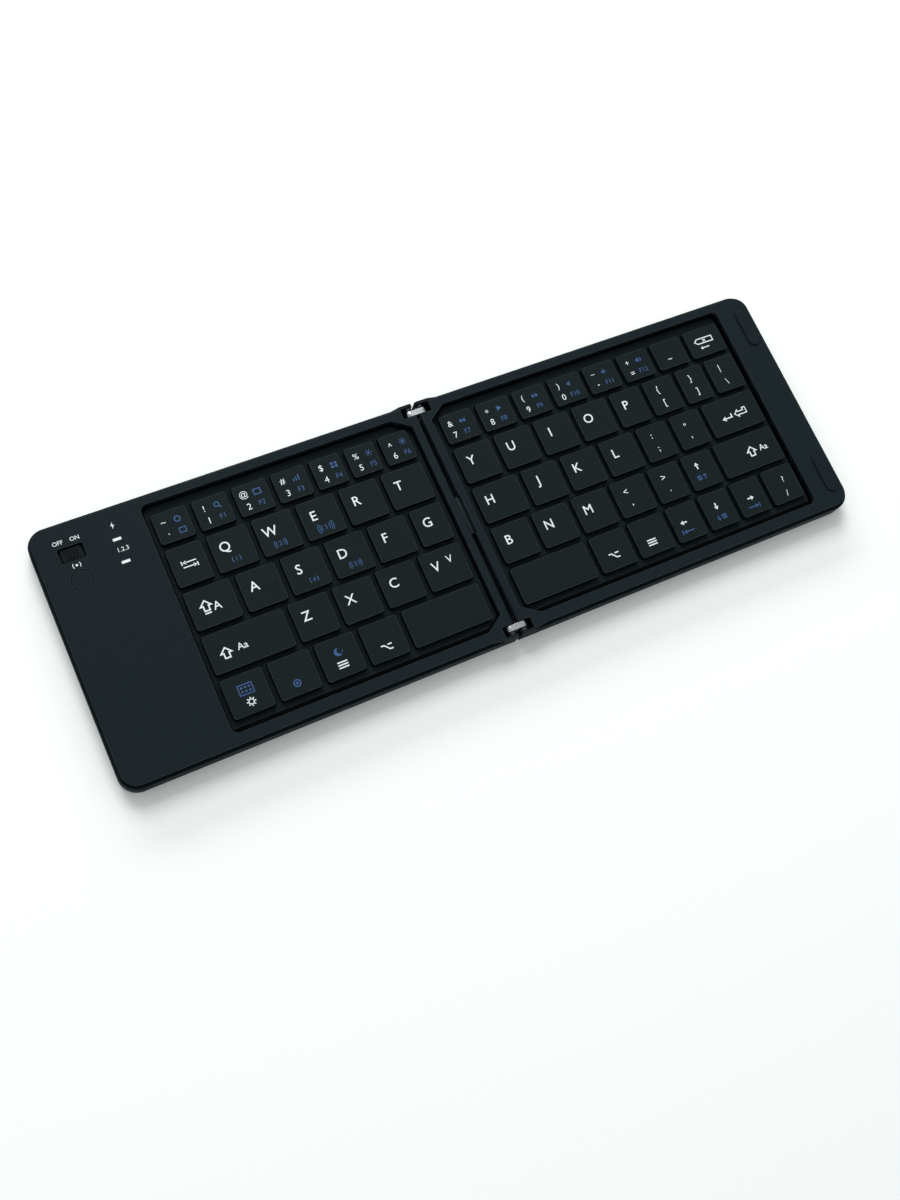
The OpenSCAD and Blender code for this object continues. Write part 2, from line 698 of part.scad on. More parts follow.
// Openings of the control panel
module panel_openings() {
    translate([knob_u, knob_y, cover_z - eps]) linear_extrude(cover_t + 2 * eps)
        rounded(-knob_slot_l / 2, knob_slot_l / 2, -knob_slot_w / 2, knob_slot_w / 2, knob_slot_r);
    translate([button_u, button_y, cover_z - eps])
        cylinder(r = button_r + button_gap, h = cover_t + 2 * eps);
    for (y = [charge_y, status_y]) block(
        [light_u - light_l / 2 - fit_gap, y - light_w / 2 - fit_gap, cover_z - eps],
        [light_u + light_l / 2 + fit_gap, y + light_w / 2 + fit_gap, top_z + eps]);
}

module pad_places() {
    at_both_ends() translate([pad_u, pad_y, 0]) children();
}

module pad_outline(g) {
    rotate(90) racetrack(pad_l + 2 * g, pad_w + 2 * g);
}

module closing_pads() {
    color("#3a3e45") pad_places() translate([0, 0, top_z - pad_sink])
        linear_extrude(pad_sink + pad_rise) pad_outline(0);
}

module magnets(side) {
    on_side(side) color("silver") at_both_ends()
        block([pad_u - magnet_w / 2, pad_y - magnet_l / 2, magnet_z],
              [pad_u + magnet_w / 2, pad_y + magnet_l / 2, cover_z]);
}

// The key deck: a plate with a window for each key, a ledge that the cover clamps and a skirt that
// stands on the contact sheet
module key_frame(side) {
    color("#2a2e35") difference() {
        on_side(side) {
            translate([0, 0, deck_under_z]) linear_extrude(ledge_t) well_outline(side, well_wall);
            translate([0, 0, deck_under_z]) linear_extrude(deck_t) intersection() {
                well_outline(side, -groove_w);
                translate([0, front_groove_w - well_front_y])
                    square([well_end_u(side), well_front_y + well_rear_y]);
            }
            difference() {
                translate([0, 0, switch_z]) linear_extrude(deck_under_z - switch_z)
                    well_outline(side, well_wall);
                translate([0, 0, switch_z - eps]) linear_extrude(deck_under_z - switch_z + eps)
                    well_outline(side, 0);
            }
        }
        for (k = keys(side)) block([k[0] - key_gap, k[1] - key_gap, deck_under_z - eps],
                                   [k[0] + k[2] + key_gap, k[1] + k[3] + key_gap, deck_z + eps]);
    }
}

module plate(side) {
    on_side(side) color("silver") translate([0, 0, plate_z]) linear_extrude(plate_t)
        well_outline(side, well_wall);
}

module membrane(side) {
    on_side(side) color("#b9bfc4") translate([0, 0, membrane_z]) {
        linear_extrude(membrane_t) well_outline(side, well_wall);
        if (side == "left")
            block([well_end_u(side), board_front_y + tail_inset, 0],
                  [board_inner_u + tail_lap, board_front_y + tail_inset + tail_w, membrane_t]);
    }
}

module domes(side) {
    color("#d8d8d2") for (k = keys(side)) translate([k[0] + k[2] / 2, k[1] + k[3] / 2, switch_z])
        difference() {
            cylinder(r1 = dome_r, r2 = stem_r, h = deck_under_z - switch_z);
            translate([0, 0, -eps]) cylinder(r1 = dome_r - dome_wall, r2 = stem_r - dome_wall,
                                             h = deck_under_z - switch_z + eps - dome_wall);
        }
}

// One key: a hollow cap with a lip under the deck and a stem on its dome
module keycap(k) {
    pocket = [k[0] + cap_wall, k[1] + cap_wall];
    pocket_end = [k[0] + k[2] - cap_wall, k[1] + k[3] - cap_wall];
    difference() {
        union() {
            translate([0, 0, cap_z]) linear_extrude(key_z - cap_z)
                rounded(k[0], k[0] + k[2], k[1], k[1] + k[3], cap_r);
            block([k[0] - lip, k[1] - lip, cap_z], [k[0] + k[2] + lip, k[1] + k[3] + lip, lip_top_z]);
        }
        block([pocket[0], pocket[1], cap_z - eps], [pocket_end[0], pocket_end[1], key_z - cap_top_t]);
    }
    translate([k[0] + k[2] / 2, k[1] + k[3] / 2, deck_under_z])
        cylinder(r = stem_r, h = key_z - cap_top_t - deck_under_z);
}

module key_run(side, row, first, last) {
    color("#343840") for (i = [first:last]) keycap(key(side, row, i));
}

module circuit_board() {
    on_side("left") color("#1f5c3a") difference() {
        block([board_inner_u, board_front_y, board_z], [board_outer_u, board_rear_y, board_top_z]);
        for (p = board_pegs) translate([p[0], p[1], board_z - eps])
            cylinder(r = peg_tip_r + fit_gap, h = board_t + 2 * eps);
    }
}

// Body of the slide switch, with the channel that its lever runs in
module option_switch() {
    channel_l = lever_w + 2 * (knob_travel + slide_gap);
    channel_w = lever_w + 2 * slide_gap;
    on_side("left") color("#c9ccd1") translate([knob_u, knob_y, 0]) difference() {
        block([-slide_switch_l / 2, -slide_switch_w / 2, board_top_z],
              [slide_switch_l / 2, slide_switch_w / 2, slide_switch_z]);
        block([-channel_l / 2, -channel_w / 2, slide_switch_z - lever_depth - slide_gap],
              [channel_l / 2, channel_w / 2, slide_switch_z + eps]);
    }
}

// The knob: a thumb piece in the slot, a flange under the cover and a lever in the switch
module option_knob() {
    thumb_l = knob_slot_l - 2 * knob_travel - 2 * slide_gap;
    thumb_w = knob_slot_w - 2 * knob_side_gap;
    flange_l = knob_slot_l + 2 * knob_flange_end;
    flange_w = thumb_w + 2 * knob_flange_side;
    flange_z = cover_z - slide_gap - knob_flange_t;
    on_side("left") color("#454a52") translate([knob_u, knob_y, 0]) {
        translate([0, 0, flange_z]) linear_extrude(top_z - knob_drop - flange_z)
            rounded(-thumb_l / 2, thumb_l / 2, -thumb_w / 2, thumb_w / 2, knob_slot_r - slide_gap);
        block([-flange_l / 2, -flange_w / 2, flange_z],
              [flange_l / 2, flange_w / 2, flange_z + knob_flange_t]);
        block([-lever_w / 2, -lever_w / 2, slide_switch_z - lever_depth],
              [lever_w / 2, lever_w / 2, flange_z]);
    }
}

// Body of the push switch, with the well that the button's stem runs in
module connect_switch() {
    well_bottom_z = push_switch_z - button_stem_depth - button_travel - slide_gap;
    on_side("left") color("#c9ccd1") translate([button_u, button_y, 0]) difference() {
        block([-push_switch_w / 2, -push_switch_w / 2, board_top_z],
              [push_switch_w / 2, push_switch_w / 2, push_switch_z]);
        translate([0, 0, well_bottom_z])
            cylinder(r = button_stem_r + slide_gap, h = push_switch_z + eps - well_bottom_z);
    }
}

module connect_button() {
    flange_z = cover_z - slide_gap - button_flange_t;
    stem_z = push_switch_z - button_stem_depth;
    on_side("left") color("#31353d") translate([button_u, button_y, 0]) {
        translate([0, 0, flange_z]) cylinder(r = button_r, h = top_z - flange_z);
        translate([0, 0, flange_z]) cylinder(r = button_r + button_flange, h = button_flange_t);
        translate([0, 0, stem_z]) cylinder(r = button_stem_r, h = flange_z - stem_z);
    }
}

module indicator_leds() {
    on_side("left") color("white") for (y = [charge_y, status_y])
        block([light_u - led_l / 2, y - led_w / 2, board_top_z],
              [light_u + led_l / 2, y + led_w / 2, board_top_z + led_h]);
}

// A clear light guide from a diode on the board to the top of the cover
module light(y) {
    on_side("left") color("white")
        block([light_u - light_l / 2, y - light_w / 2, board_top_z + led_h],
              [light_u + light_l / 2, y + light_w / 2, top_z]);
}

// The charging socket: a metal shell around its mouth, with the tongue inside
module usb_socket() {
    mouth_y = side_y - socket_inset;
    inner_w = socket_w - 2 * socket_t;
    inner_y = mouth_y - socket_l + socket_end_t;
    on_side("left") color("silver") translate([socket_u, 0, board_top_z]) {
        difference() {
            block([-socket_w / 2, mouth_y - socket_l, 0], [socket_w / 2, mouth_y, socket_h]);
            block([-inner_w / 2, inner_y, socket_t], [inner_w / 2, mouth_y + eps, socket_h - socket_t]);
        }
        block([-tongue_w / 2, inner_y, socket_h / 2],
              [tongue_w / 2, mouth_y - tongue_inset, socket_h / 2 + tongue_t]);
    }
}

module battery() {
    on_side("left") color("#9aa0a8") translate([battery_u, 0, floor_z]) linear_extrude(battery_h)
        rounded(-battery_l / 2, battery_l / 2, battery_front_y, battery_rear_y, battery_r);
}

// A metal link with a hole for a pin of each half
module hinge_link() {
    color("silver") difference() {
        union() {
            block([-hinge_u, link_y, pin_z - link_end_r], [hinge_u, link_y + link_w, pin_z + link_end_r]);
            for (u = [-hinge_u, hinge_u]) bar([u, pin_z], link_y, link_y + link_w, link_end_r);
        }
        for (u = [-hinge_u, hinge_u])
            bar([u, pin_z], link_y - eps, link_y + link_w + eps, pin_r + pin_gap);
    }
}

// An ear for the pin on a foot that a screw clamps between base and cover
module hinge_brackets(side) {
    ear_u0 = hinge_u - ear_r;
    root_u = hinge_u + ear_r + ear_root;
    on_side(side) color("#8d9299") at_both_ends() difference() {
        union() {
            block([ear_u0, ear_y, floor_z], [root_u, ear_y + ear_t, floor_z + ear_root_h]);
            block([ear_u0, ear_y, floor_z], [hinge_u + ear_r, ear_y + ear_t, pin_z]);
            bar([hinge_u, pin_z], ear_y, ear_y + ear_t, ear_r);
            translate([0, 0, floor_z]) linear_extrude(bracket_t)
                polygon([[ear_u0, ear_y + ear_t / 2], [root_u, ear_y + ear_t / 2], [root_u, ear_y + ear_t],
                         [bracket_u - foot_slant_u, ear_y + ear_t],
                         [bracket_u, ear_y + ear_t + foot_slant_y],
                         [bracket_u, wall_y - fit_gap], [ear_u0, wall_y - fit_gap]]);
        }
        bar([hinge_u, pin_z], ear_y - eps, ear_y + ear_t + eps, pin_r + press_gap);
        translate([hinge_screw_u, hinge_screw_y, floor_z - eps])
            cylinder(r = screw_r + slide_gap, h = bracket_t + 2 * eps);
    }
}

module hinge_pins(side) {
    on_side(side) color("#b9bdc3") at_both_ends() {
        bar([hinge_u, pin_z], ear_y, tower_y + pin_seat, pin_r);
        bar([hinge_u, pin_z], collar_y, collar_y + collar_w, collar_r);
    }
}

// The covered flat cable: a leg down each half's inner side and a slack loop over the gap
module flex_cable() {
    y0 = flex_y - flex_w / 2;
    y1 = flex_y + flex_w / 2;
    color("#24272d") {
        block([-ring_u, y0, flex_z], [ring_u, y1, flex_z + flex_t]);
        for (s = [-1, 1]) translate([s * (ring_u - flex_t / 2), 0, 0])
            block([-flex_t / 2, y0, floor_z], [flex_t / 2, y1, flex_z + flex_t]);
        bar([0, flex_z + flex_t + flex_loop_rise - flex_loop_r], y0, y1, flex_loop_r);
    }
}

module screws(side) {
    on_side(side) color("#70747b") for (p = posts(side))
        translate([p[0], p[1], base_z]) {
            cylinder(r = screw_head_r, h = screw_head_h);
            cylinder(r = screw_r, h = screw_tip_z - base_z);
        }
}

module feet(side) {
    on_side(side) color("#15171a") feet_places() linear_extrude(feet_h + feet_sink)
        racetrack(foot_l, foot_w);
}

base("left");  // left_base
base("right");  // right_base
cover("left");  // left_cover
cover("right");  // right_cover
key_frame("left");  // left_key_frame
key_frame("right");  // right_key_frame
plate("left");  // left_plate
plate("right");  // right_plate
membrane("left");  // left_membrane
membrane("right");  // right_membrane
domes("left");  // left_domes
domes("right");  // right_domes
circuit_board();
option_switch();
option_knob();
connect_switch();
connect_button();
indicator_leds();
light(charge_y);  // charge_light
light(status_y);  // status_light
usb_socket();
battery();
hinge_link();  // rear_hinge_link
mirror([0, 1, 0]) hinge_link();  // front_hinge_link
hinge_brackets("left");  // left_hinge_brackets
hinge_brackets("right");  // right_hinge_brackets
hinge_pins("left");  // left_hinge_pins
hinge_pins("right");  // right_hinge_pins
flex_cable();
magnets("left");  // left_magnets
magnets("right");  // right_magnets
closing_pads();
screws("left");  // left_screws
screws("right");  // right_screws
feet("left");  // left_feet
feet("right");  // right_feet
for (k = KEY_NODES) key_run(k[1], k[2], k[3], k[4]);
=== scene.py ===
# A folding keyboard, open and face up on a pale table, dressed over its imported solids.
# Lengths are in metres, in the frame of the solids: +X to the right half, +Y to the rear, +Z up.
# The sections follow the keyboard as it is put together, from the feet to the printed marks.

import functools
import math

import bmesh
import bpy
from mathutils import Matrix, Vector


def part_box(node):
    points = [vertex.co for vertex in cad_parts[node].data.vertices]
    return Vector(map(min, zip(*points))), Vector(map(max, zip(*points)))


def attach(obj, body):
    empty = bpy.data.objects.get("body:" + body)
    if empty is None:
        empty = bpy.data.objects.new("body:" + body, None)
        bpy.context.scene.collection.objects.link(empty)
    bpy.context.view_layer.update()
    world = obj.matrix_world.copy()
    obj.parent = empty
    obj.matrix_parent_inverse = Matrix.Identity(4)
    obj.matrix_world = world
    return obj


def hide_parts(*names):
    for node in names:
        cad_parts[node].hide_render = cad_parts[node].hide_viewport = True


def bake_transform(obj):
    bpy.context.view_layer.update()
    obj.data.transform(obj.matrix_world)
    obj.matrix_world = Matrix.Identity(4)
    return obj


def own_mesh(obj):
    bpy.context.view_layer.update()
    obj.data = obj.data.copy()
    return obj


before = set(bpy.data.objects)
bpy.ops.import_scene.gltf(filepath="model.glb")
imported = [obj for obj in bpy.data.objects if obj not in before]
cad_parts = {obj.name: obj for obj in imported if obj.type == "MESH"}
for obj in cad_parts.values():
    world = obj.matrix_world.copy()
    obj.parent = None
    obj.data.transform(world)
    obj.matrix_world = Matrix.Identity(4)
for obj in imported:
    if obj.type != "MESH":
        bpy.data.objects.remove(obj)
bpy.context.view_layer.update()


# ---------------------------------------------------------------- The camera
# The photograph looks down on the keyboard from over its left front corner, a little turned, from
# half a metre away. These values come from a pinhole camera fitted to its key corners and outline.

MM = 0.001
CAMERA_PLACE = Vector((-160.03, -122.54, 458.81)) * MM
CAMERA_AHEAD = Vector((0.29260, 0.19815, -0.93548))
CAMERA_RIGHT = Vector((0.89148, -0.41042, 0.19190))
FOCAL_PIXELS = 1334.64
FRAME_HEIGHT = 1200
SENSOR_MM = 36.0

camera_data = bpy.data.cameras.new("camera")
camera_data.sensor_width = SENSOR_MM
camera_data.lens = FOCAL_PIXELS * SENSOR_MM / FRAME_HEIGHT
camera_data.clip_start = 10 * MM
camera = bpy.data.objects.new("camera", camera_data)
camera_back = -CAMERA_AHEAD.normalized()
camera_right = (CAMERA_RIGHT - camera_back * CAMERA_RIGHT.dot(camera_back)).normalized()
camera_up = camera_back.cross(camera_right)
camera_turn = Matrix((camera_right, camera_up, camera_back)).transposed()
camera.matrix_world = Matrix.Translation(CAMERA_PLACE) @ camera_turn.to_4x4()
bpy.context.scene.collection.objects.link(camera)
bpy.context.scene.camera = camera


# ---------------------------------------------------------------- The bases
# Each base is a shallow tray, moulded from dark blue-grey ABS in a mould with a fine spark texture.
# Its floor, side walls and rim are one moulding, and its outer edges are slightly broken.

def new_group(name, inputs, outputs):
    """A shader node group. inputs and outputs are {socket name: (socket type, default value)}."""
    tree = bpy.data.node_groups.new(name, "ShaderNodeTree")
    for title, (kind, value) in inputs.items():
        socket = tree.interface.new_socket(name=title, in_out="INPUT", socket_type="NodeSocket" + kind)
        if value is not None:
            socket.default_value = value
    for title, kind in outputs.items():
        tree.interface.new_socket(name=title, in_out="OUTPUT", socket_type="NodeSocket" + kind)
    return tree, tree.nodes.new("NodeGroupInput"), tree.nodes.new("NodeGroupOutput")


def add(tree, kind, wires=(), **values):
    """Adds a shader node, sets its properties and plain input values, and wires its inputs."""
    node = tree.nodes.new("ShaderNode" + kind)
    for key, value in values.items():
        if key in node.bl_rna.properties:
            setattr(node, key, value)
        else:
            node.inputs[key.replace("_", " ")].default_value = value
    for key, source in dict(wires).items():
        tree.links.new(source, node.inputs[key])
    return node


def noise(tree, where, scale, detail=3.0, roughness=0.55):
    """A noise texture's value at a place given by the socket where."""
    node = add(tree, "TexNoise", {"Vector": where}, Scale=scale, Detail=detail, Roughness=roughness)
    return node.outputs["Fac"]


def spread(tree, value, low, high, to_low=0.0, to_high=1.0):
    """Maps a value from low..high to to_low..to_high, and holds it there."""
    node = add(tree, "MapRange", {"Value": value})
    for place, number in (("From Min", low), ("From Max", high), ("To Min", to_low), ("To Max", to_high)):
        node.inputs[place].default_value = number
    return node.outputs["Result"]


def blend_colours(tree, mask, first, second):
    """Mixes two colours, given as tuples or sockets, by a mask."""
    colour_a, colour_b, colour_out = 6, 7, 2    # the Mix node's sockets for colours
    node = add(tree, "Mix", data_type="RGBA")
    tree.links.new(mask, node.inputs["Factor"])
    for place, colour in ((colour_a, first), (colour_b, second)):
        if isinstance(colour, tuple):
            node.inputs[place].default_value = (*colour, 1.0)
        else:
            tree.links.new(colour, node.inputs[place])
    return node.outputs[colour_out]


def spark_texture():
    """The fine pitted surface of a mould finished by spark erosion."""
    pits_per_grain = 0.35
    tree, start, end = new_group("spark_texture", {"Place": ("Vector", None), "Grain": ("Float", 2600.0)},
                                 {"Height": "Float", "Tone": "Float"})
    fine = add(tree, "TexNoise", {"Vector": start.outputs["Place"], "Scale": start.outputs["Grain"]},
               Detail=4.0, Roughness=0.62)
    coarse = add(tree, "Math", {0: start.outputs["Grain"]}, operation="MULTIPLY")
    coarse.inputs[1].default_value = pits_per_grain
    pits = add(tree, "TexVoronoi", {"Vector": start.outputs["Place"], "Scale": coarse.outputs[0]},
               feature="SMOOTH_F1")
    both = add(tree, "Math", {0: fine.outputs["Fac"], 1: pits.outputs["Distance"]}, operation="ADD")
    tree.links.new(both.outputs[0], end.inputs["Height"])
    tree.links.new(spread(tree, fine.outputs["Fac"], 0.35, 0.65), end.inputs["Tone"])
    return tree


def handling():
    """Where hands have rubbed a surface glossier or duller: soft patches some centimetres wide."""
    tree, start, end = new_group("handling", {"Place": ("Vector", None), "Patch": ("Float", 26.0)},
                                 {"Mask": "Float"})
    wide = add(tree, "TexNoise", {"Vector": start.outputs["Place"], "Scale": start.outputs["Patch"]},
               Detail=5.0, Roughness=0.6, Distortion=0.4)
    tree.links.new(spread(tree, wide.outputs["Fac"], 0.38, 0.66), end.inputs["Mask"])
    return tree


def painted_edge_highlight():
    """A mask high along the edges: a painted highlight standing in for glints, with a little edge wear."""
    face, corner = 0.985, 0.80    # how far the rounded normal follows the flat one
    tree, start, end = new_group("painted_edge_highlight", {"Reach": ("Float", 0.4 * MM), "Place": ("Vector", None)},
                                 {"Mask": "Float"})
    round_normal = add(tree, "Bevel", {"Radius": start.outputs["Reach"]}, samples=4)
    flat = add(tree, "NewGeometry")
    turn = add(tree, "VectorMath", {0: round_normal.outputs[0], 1: flat.outputs["Normal"]},
               operation="DOT_PRODUCT")
    edge = spread(tree, turn.outputs["Value"], face, corner)
    patches = spread(tree, noise(tree, start.outputs["Place"], scale=420.0), 0.25, 0.6, 0.35, 1.0)
    patchy = add(tree, "Math", {0: edge, 1: patches}, operation="MULTIPLY")
    tree.links.new(patchy.outputs[0], end.inputs["Mask"])
    return tree


def crevice_shade():
    """A mask that is high in the grooves and corners, where hardly any light gets in: painted shade."""
    open_face, deep_corner = 0.86, 0.45    # how much of the sky each sees
    tree, start, end = new_group("crevice_shade", {"Reach": ("Float", 1.2 * MM)}, {"Mask": "Float"})
    open_sky = add(tree, "AmbientOcclusion", {"Distance": start.outputs["Reach"]}, samples=6)
    tree.links.new(spread(tree, open_sky.outputs["AO"], open_face, deep_corner), end.inputs["Mask"])
    return tree


SPARK_TEXTURE = spark_texture()
HANDLING = handling()
PAINTED_EDGE_HIGHLIGHT = painted_edge_highlight()
CREVICE_SHADE = crevice_shade()


def use(tree, group, wires=(), **values):
    """Places a node group in a material, with its own values."""
    node = tree.nodes.new("ShaderNodeGroup")
    node.node_tree = group
    for key, value in values.items():
        node.inputs[key].default_value = value
    for key, source in dict(wires).items():
        tree.links.new(source, node.inputs[key])
    return node


def new_material(name):
    """An empty material: its tree, its Principled shader and the object's own coordinates."""
    material = bpy.data.materials.new(name)
    material.use_nodes = True
    tree = material.node_tree
    tree.nodes.clear()
    shader = tree.nodes.new("ShaderNodeBsdfPrincipled")
    out = tree.nodes.new("ShaderNodeOutputMaterial")
    tree.links.new(shader.outputs[0], out.inputs[0])
    place = tree.nodes.new("ShaderNodeTexCoord").outputs["Object"]
    return material, tree, shader, place


def bump(tree, shader, height, strength, distance):
    """Feeds a height in metres into the shader's normal."""
    node = add(tree, "Bump", {"Height": height}, Strength=strength, Distance=distance)
    tree.links.new(node.outputs[0], shader.inputs["Normal"])


def moulded(name, colour, lighter, rough=(0.46, 0.6), gloss=0.03, grain=2600.0, depth=0.03 * MM,
            strength=0.35, edge_highlight=0.35, shade=1.2 * MM, dark_below=None):
    """Moulded plastic: a dark tone and a lighter one in the texture, patches of wear, painted light and
    shade.

    grain, depth and strength are the texture's, and shine is how bright the painted highlight on the edges
    is, which stands in for glints and has a little edge wear in it. A wall nearer than shade darkens what is
    beside it with painted shade. What lies lower than dark_below is painted dark as shade too.
    """
    full_edge_highlight = 0.05
    unlit = (0.0004, 0.0007, 0.0010)
    fade = 0.05 * MM
    material, tree, shader, place = new_material(name)
    texture = use(tree, SPARK_TEXTURE, {"Place": place}, Grain=grain)
    worn = use(tree, HANDLING, {"Place": place})
    edges = use(tree, PAINTED_EDGE_HIGHLIGHT, {"Place": place})
    toned = blend_colours(tree, texture.outputs["Tone"], colour, lighter)
    # Painted highlight: the edges are lightened, standing in for glints, with a little edge wear in it.
    bright = tuple(c + edge_highlight * full_edge_highlight for c in lighter)
    edge_highlighted = blend_colours(tree, edges.outputs["Mask"], toned, bright)
    # Painted shade: near a wall, and lower than dark_below, the colour goes almost black.
    painted_shade = use(tree, CREVICE_SHADE, Reach=shade).outputs["Mask"]
    if dark_below is not None:
        height = add(tree, "SeparateXYZ", {"Vector": place}).outputs["Z"]
        sunk = spread(tree, height, dark_below, dark_below - fade)
        painted_shade = add(tree, "Math", {0: painted_shade, 1: sunk}, operation="MAXIMUM").outputs[0]
    tree.links.new(blend_colours(tree, painted_shade, edge_highlighted, unlit), shader.inputs["Base Color"])
    tree.links.new(spread(tree, worn.outputs["Mask"], 0.0, 1.0, *rough), shader.inputs["Roughness"])
    shader.inputs["Specular IOR Level"].default_value = gloss
    bump(tree, shader, texture.outputs["Height"], strength, depth)
    return material


def dress(material, *nodes):
    """Gives solids of the frame their material."""
    for name in nodes:
        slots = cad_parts[name].data.materials
        slots.clear()
        slots.append(material)


def soften(width, *nodes, steps=2):
    """Rounds the sharp edges of solids of the frame, as a mould or a tumbler leaves them."""
    same_place, sharp = 0.002 * MM, math.radians(35)
    for name in nodes:
        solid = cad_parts[name]
        weld = solid.modifiers.new("joined", "WELD")
        weld.merge_threshold = same_place
        rounding = solid.modifiers.new("rounded", "BEVEL")
        rounding.width = width
        rounding.segments = steps
        rounding.limit_method = "ANGLE"
        rounding.angle_limit = sharp
        rounding.harden_normals = True


base_plastic = moulded("base_plastic", (0.0062, 0.0104, 0.0130), (0.0102, 0.0155, 0.0190))
dress(base_plastic, "left_base", "right_base")
soften(0.12 * MM, "left_base", "right_base")


# ---------------------------------------------------------------- The feet and screws
# Four black silicone pads are glued into pockets under each half. Between them small black-oxide
# screws, with a cross recess each, hold base, brackets and cover together.

def rubber(name, colour, lighter):
    """Matt rubber or silicone: a dusty bloom over a dark ground, hardly any gloss."""
    material, tree, shader, place = new_material(name)
    bloom = spread(tree, noise(tree, place, scale=900.0, detail=5.0, roughness=0.7), 0.35, 0.7)
    tree.links.new(blend_colours(tree, bloom, colour, lighter), shader.inputs["Base Color"])
    tree.links.new(spread(tree, bloom, 0.0, 1.0, 0.62, 0.85), shader.inputs["Roughness"])
    shader.inputs["Specular IOR Level"].default_value = 0.2
    bump(tree, shader, noise(tree, place, scale=5200.0), strength=0.3, distance=0.02 * MM)
    return material


def machined(name, colour, lighter, rough=(0.22, 0.38), along=(1.0, 1.0, 1.0)):
    """Bare or plated metal: fine drawing lines, stretched where along is small, over a worn gloss."""
    material, tree, shader, place = new_material(name)
    drawn = add(tree, "Mapping", {"Vector": place})
    drawn.inputs["Scale"].default_value = along
    lines = noise(tree, drawn.outputs[0], scale=2400.0, detail=4.0, roughness=0.6)
    worn = use(tree, HANDLING, {"Place": place}, Patch=160.0)
    tree.links.new(blend_colours(tree, spread(tree, lines, 0.35, 0.65), colour, lighter),
                   shader.inputs["Base Color"])
    tree.links.new(spread(tree, worn.outputs["Mask"], 0.0, 1.0, *rough), shader.inputs["Roughness"])
    shader.inputs["Metallic"].default_value = 1.0
    bump(tree, shader, lines, strength=0.15, distance=0.01 * MM)
    return material


foot_rubber = rubber("foot_rubber", (0.006, 0.006, 0.007), (0.016, 0.016, 0.018))
dress(foot_rubber, "left_feet", "right_feet")
soften(0.15 * MM, "left_feet", "right_feet")

screw_metal = machined("screw_metal", (0.045, 0.045, 0.050), (0.10, 0.10, 0.11), rough=(0.35, 0.5))


def islands(node):
    """The lowest and highest corner of each separate solid of a node, from left to right."""
    same_place = 0.001 * MM
    welded = bmesh.new()
    welded.from_mesh(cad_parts[node].data)
    bmesh.ops.remove_doubles(welded, verts=welded.verts, dist=same_place)
    unseen = set(welded.verts)
    corners = []
    while unseen:
        reached = [unseen.pop()]
        for vert in reached:
            near = {edge.other_vert(vert) for edge in vert.link_edges} & unseen
            unseen -= near
            reached.extend(near)
        corners.append([Vector(pick(v.co[i] for v in reached) for i in range(3)) for pick in (min, max)])
    welded.free()
    return sorted(corners, key=lambda pair: tuple(pair[0]))


def new_piece(name, mesh, material, smooth=None):
    """An object with one material. Edges of less than smooth degrees are shaded round."""
    mesh.materials.clear()
    mesh.materials.append(material)
    if smooth is not None:
        mesh.shade_smooth()
        mesh.set_sharp_from_angle(angle=math.radians(smooth))
    piece = bpy.data.objects.new(name, mesh)
    bpy.context.scene.collection.objects.link(piece)
    return piece


def turned(solid, middle, profile, steps=32):
    """Adds a closed form turned about an upright axis, from a profile of (radius, height).

    The profile starts and ends on the axis, where a ring is a single point.
    """
    turns = [2 * math.pi * i / steps for i in range(steps)]
    rings = []
    for radius, height in profile:
        rings.append([solid.verts.new((middle.x + radius * math.cos(turn),
                                       middle.y + radius * math.sin(turn), height))
                      for turn in (turns if radius else turns[:1])])
    for upper, lower in zip(rings, rings[1:]):
        for i in range(steps):
            j = (i + 1) % steps
            corners = [ring[k % len(ring)] for ring, k in ((upper, i), (upper, j), (lower, j), (lower, i))]
            solid.faces.new(list(dict.fromkeys(corners)))


def cut_away(mesh, tool):
    """Takes one closed mesh away from another. The tool may be made of forms that overlap."""
    body = bpy.data.objects.new("body", mesh)
    cutter = bpy.data.objects.new("cutter", tool)
    for thing in (body, cutter):
        bpy.context.scene.collection.objects.link(thing)
    cut = body.modifiers.new("cut", "BOOLEAN")
    cut.operation = "DIFFERENCE"
    cut.solver = "EXACT"
    cut.use_self = True
    cut.object = cutter
    result = bpy.data.meshes.new_from_object(body.evaluated_get(bpy.context.evaluated_depsgraph_get()))
    for thing in (body, cutter):
        bpy.data.objects.remove(thing)
    return result


def from_bmesh(name, solid):
    """Turns a finished bmesh into a mesh, with its faces turned outward."""
    bmesh.ops.recalc_face_normals(solid, faces=solid.faces)
    mesh = bpy.data.meshes.new(name)
    solid.to_mesh(mesh)
    solid.free()
    return mesh


def cross_screws(side):
    """Flat-headed screws with a rounded rim and a cross recess, one where each plain screw stands."""
    node = side + "_screws"
    thread_r, head_h = 0.72 * MM, 0.5 * MM
    rim = 0.15 * MM
    ease = 0.3 * rim
    slot_w, slot_l, slot_h = 0.48 * MM, 1.9 * MM, 0.7 * MM
    screws, crosses = bmesh.new(), bmesh.new()
    for low, high in islands(node):
        middle = (low + high) / 2
        head_r = (high.x - low.x) / 2
        turned(screws, middle, [(0.0, high.z), (thread_r - rim, high.z), (thread_r, high.z - rim),
                                (thread_r, low.z + head_h), (head_r, low.z + head_h),
                                (head_r, low.z + rim), (head_r - ease, low.z + ease),
                                (head_r - rim, low.z), (0.0, low.z)])
        for size in ((slot_w, slot_l, slot_h), (slot_l, slot_w, slot_h)):
            slot = bmesh.ops.create_cube(crosses, size=1.0)["verts"]
            bmesh.ops.scale(crosses, vec=size, verts=slot)
            bmesh.ops.translate(crosses, vec=(middle.x, middle.y, low.z), verts=slot)
    mesh = cut_away(from_bmesh(node, screws), from_bmesh("crosses", crosses))
    piece = new_piece(side + "_cross_screws", mesh, screw_metal, smooth=30)
    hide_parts(node)
    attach(piece, side + "_half")


for half in ("left", "right"):
    cross_screws(half)


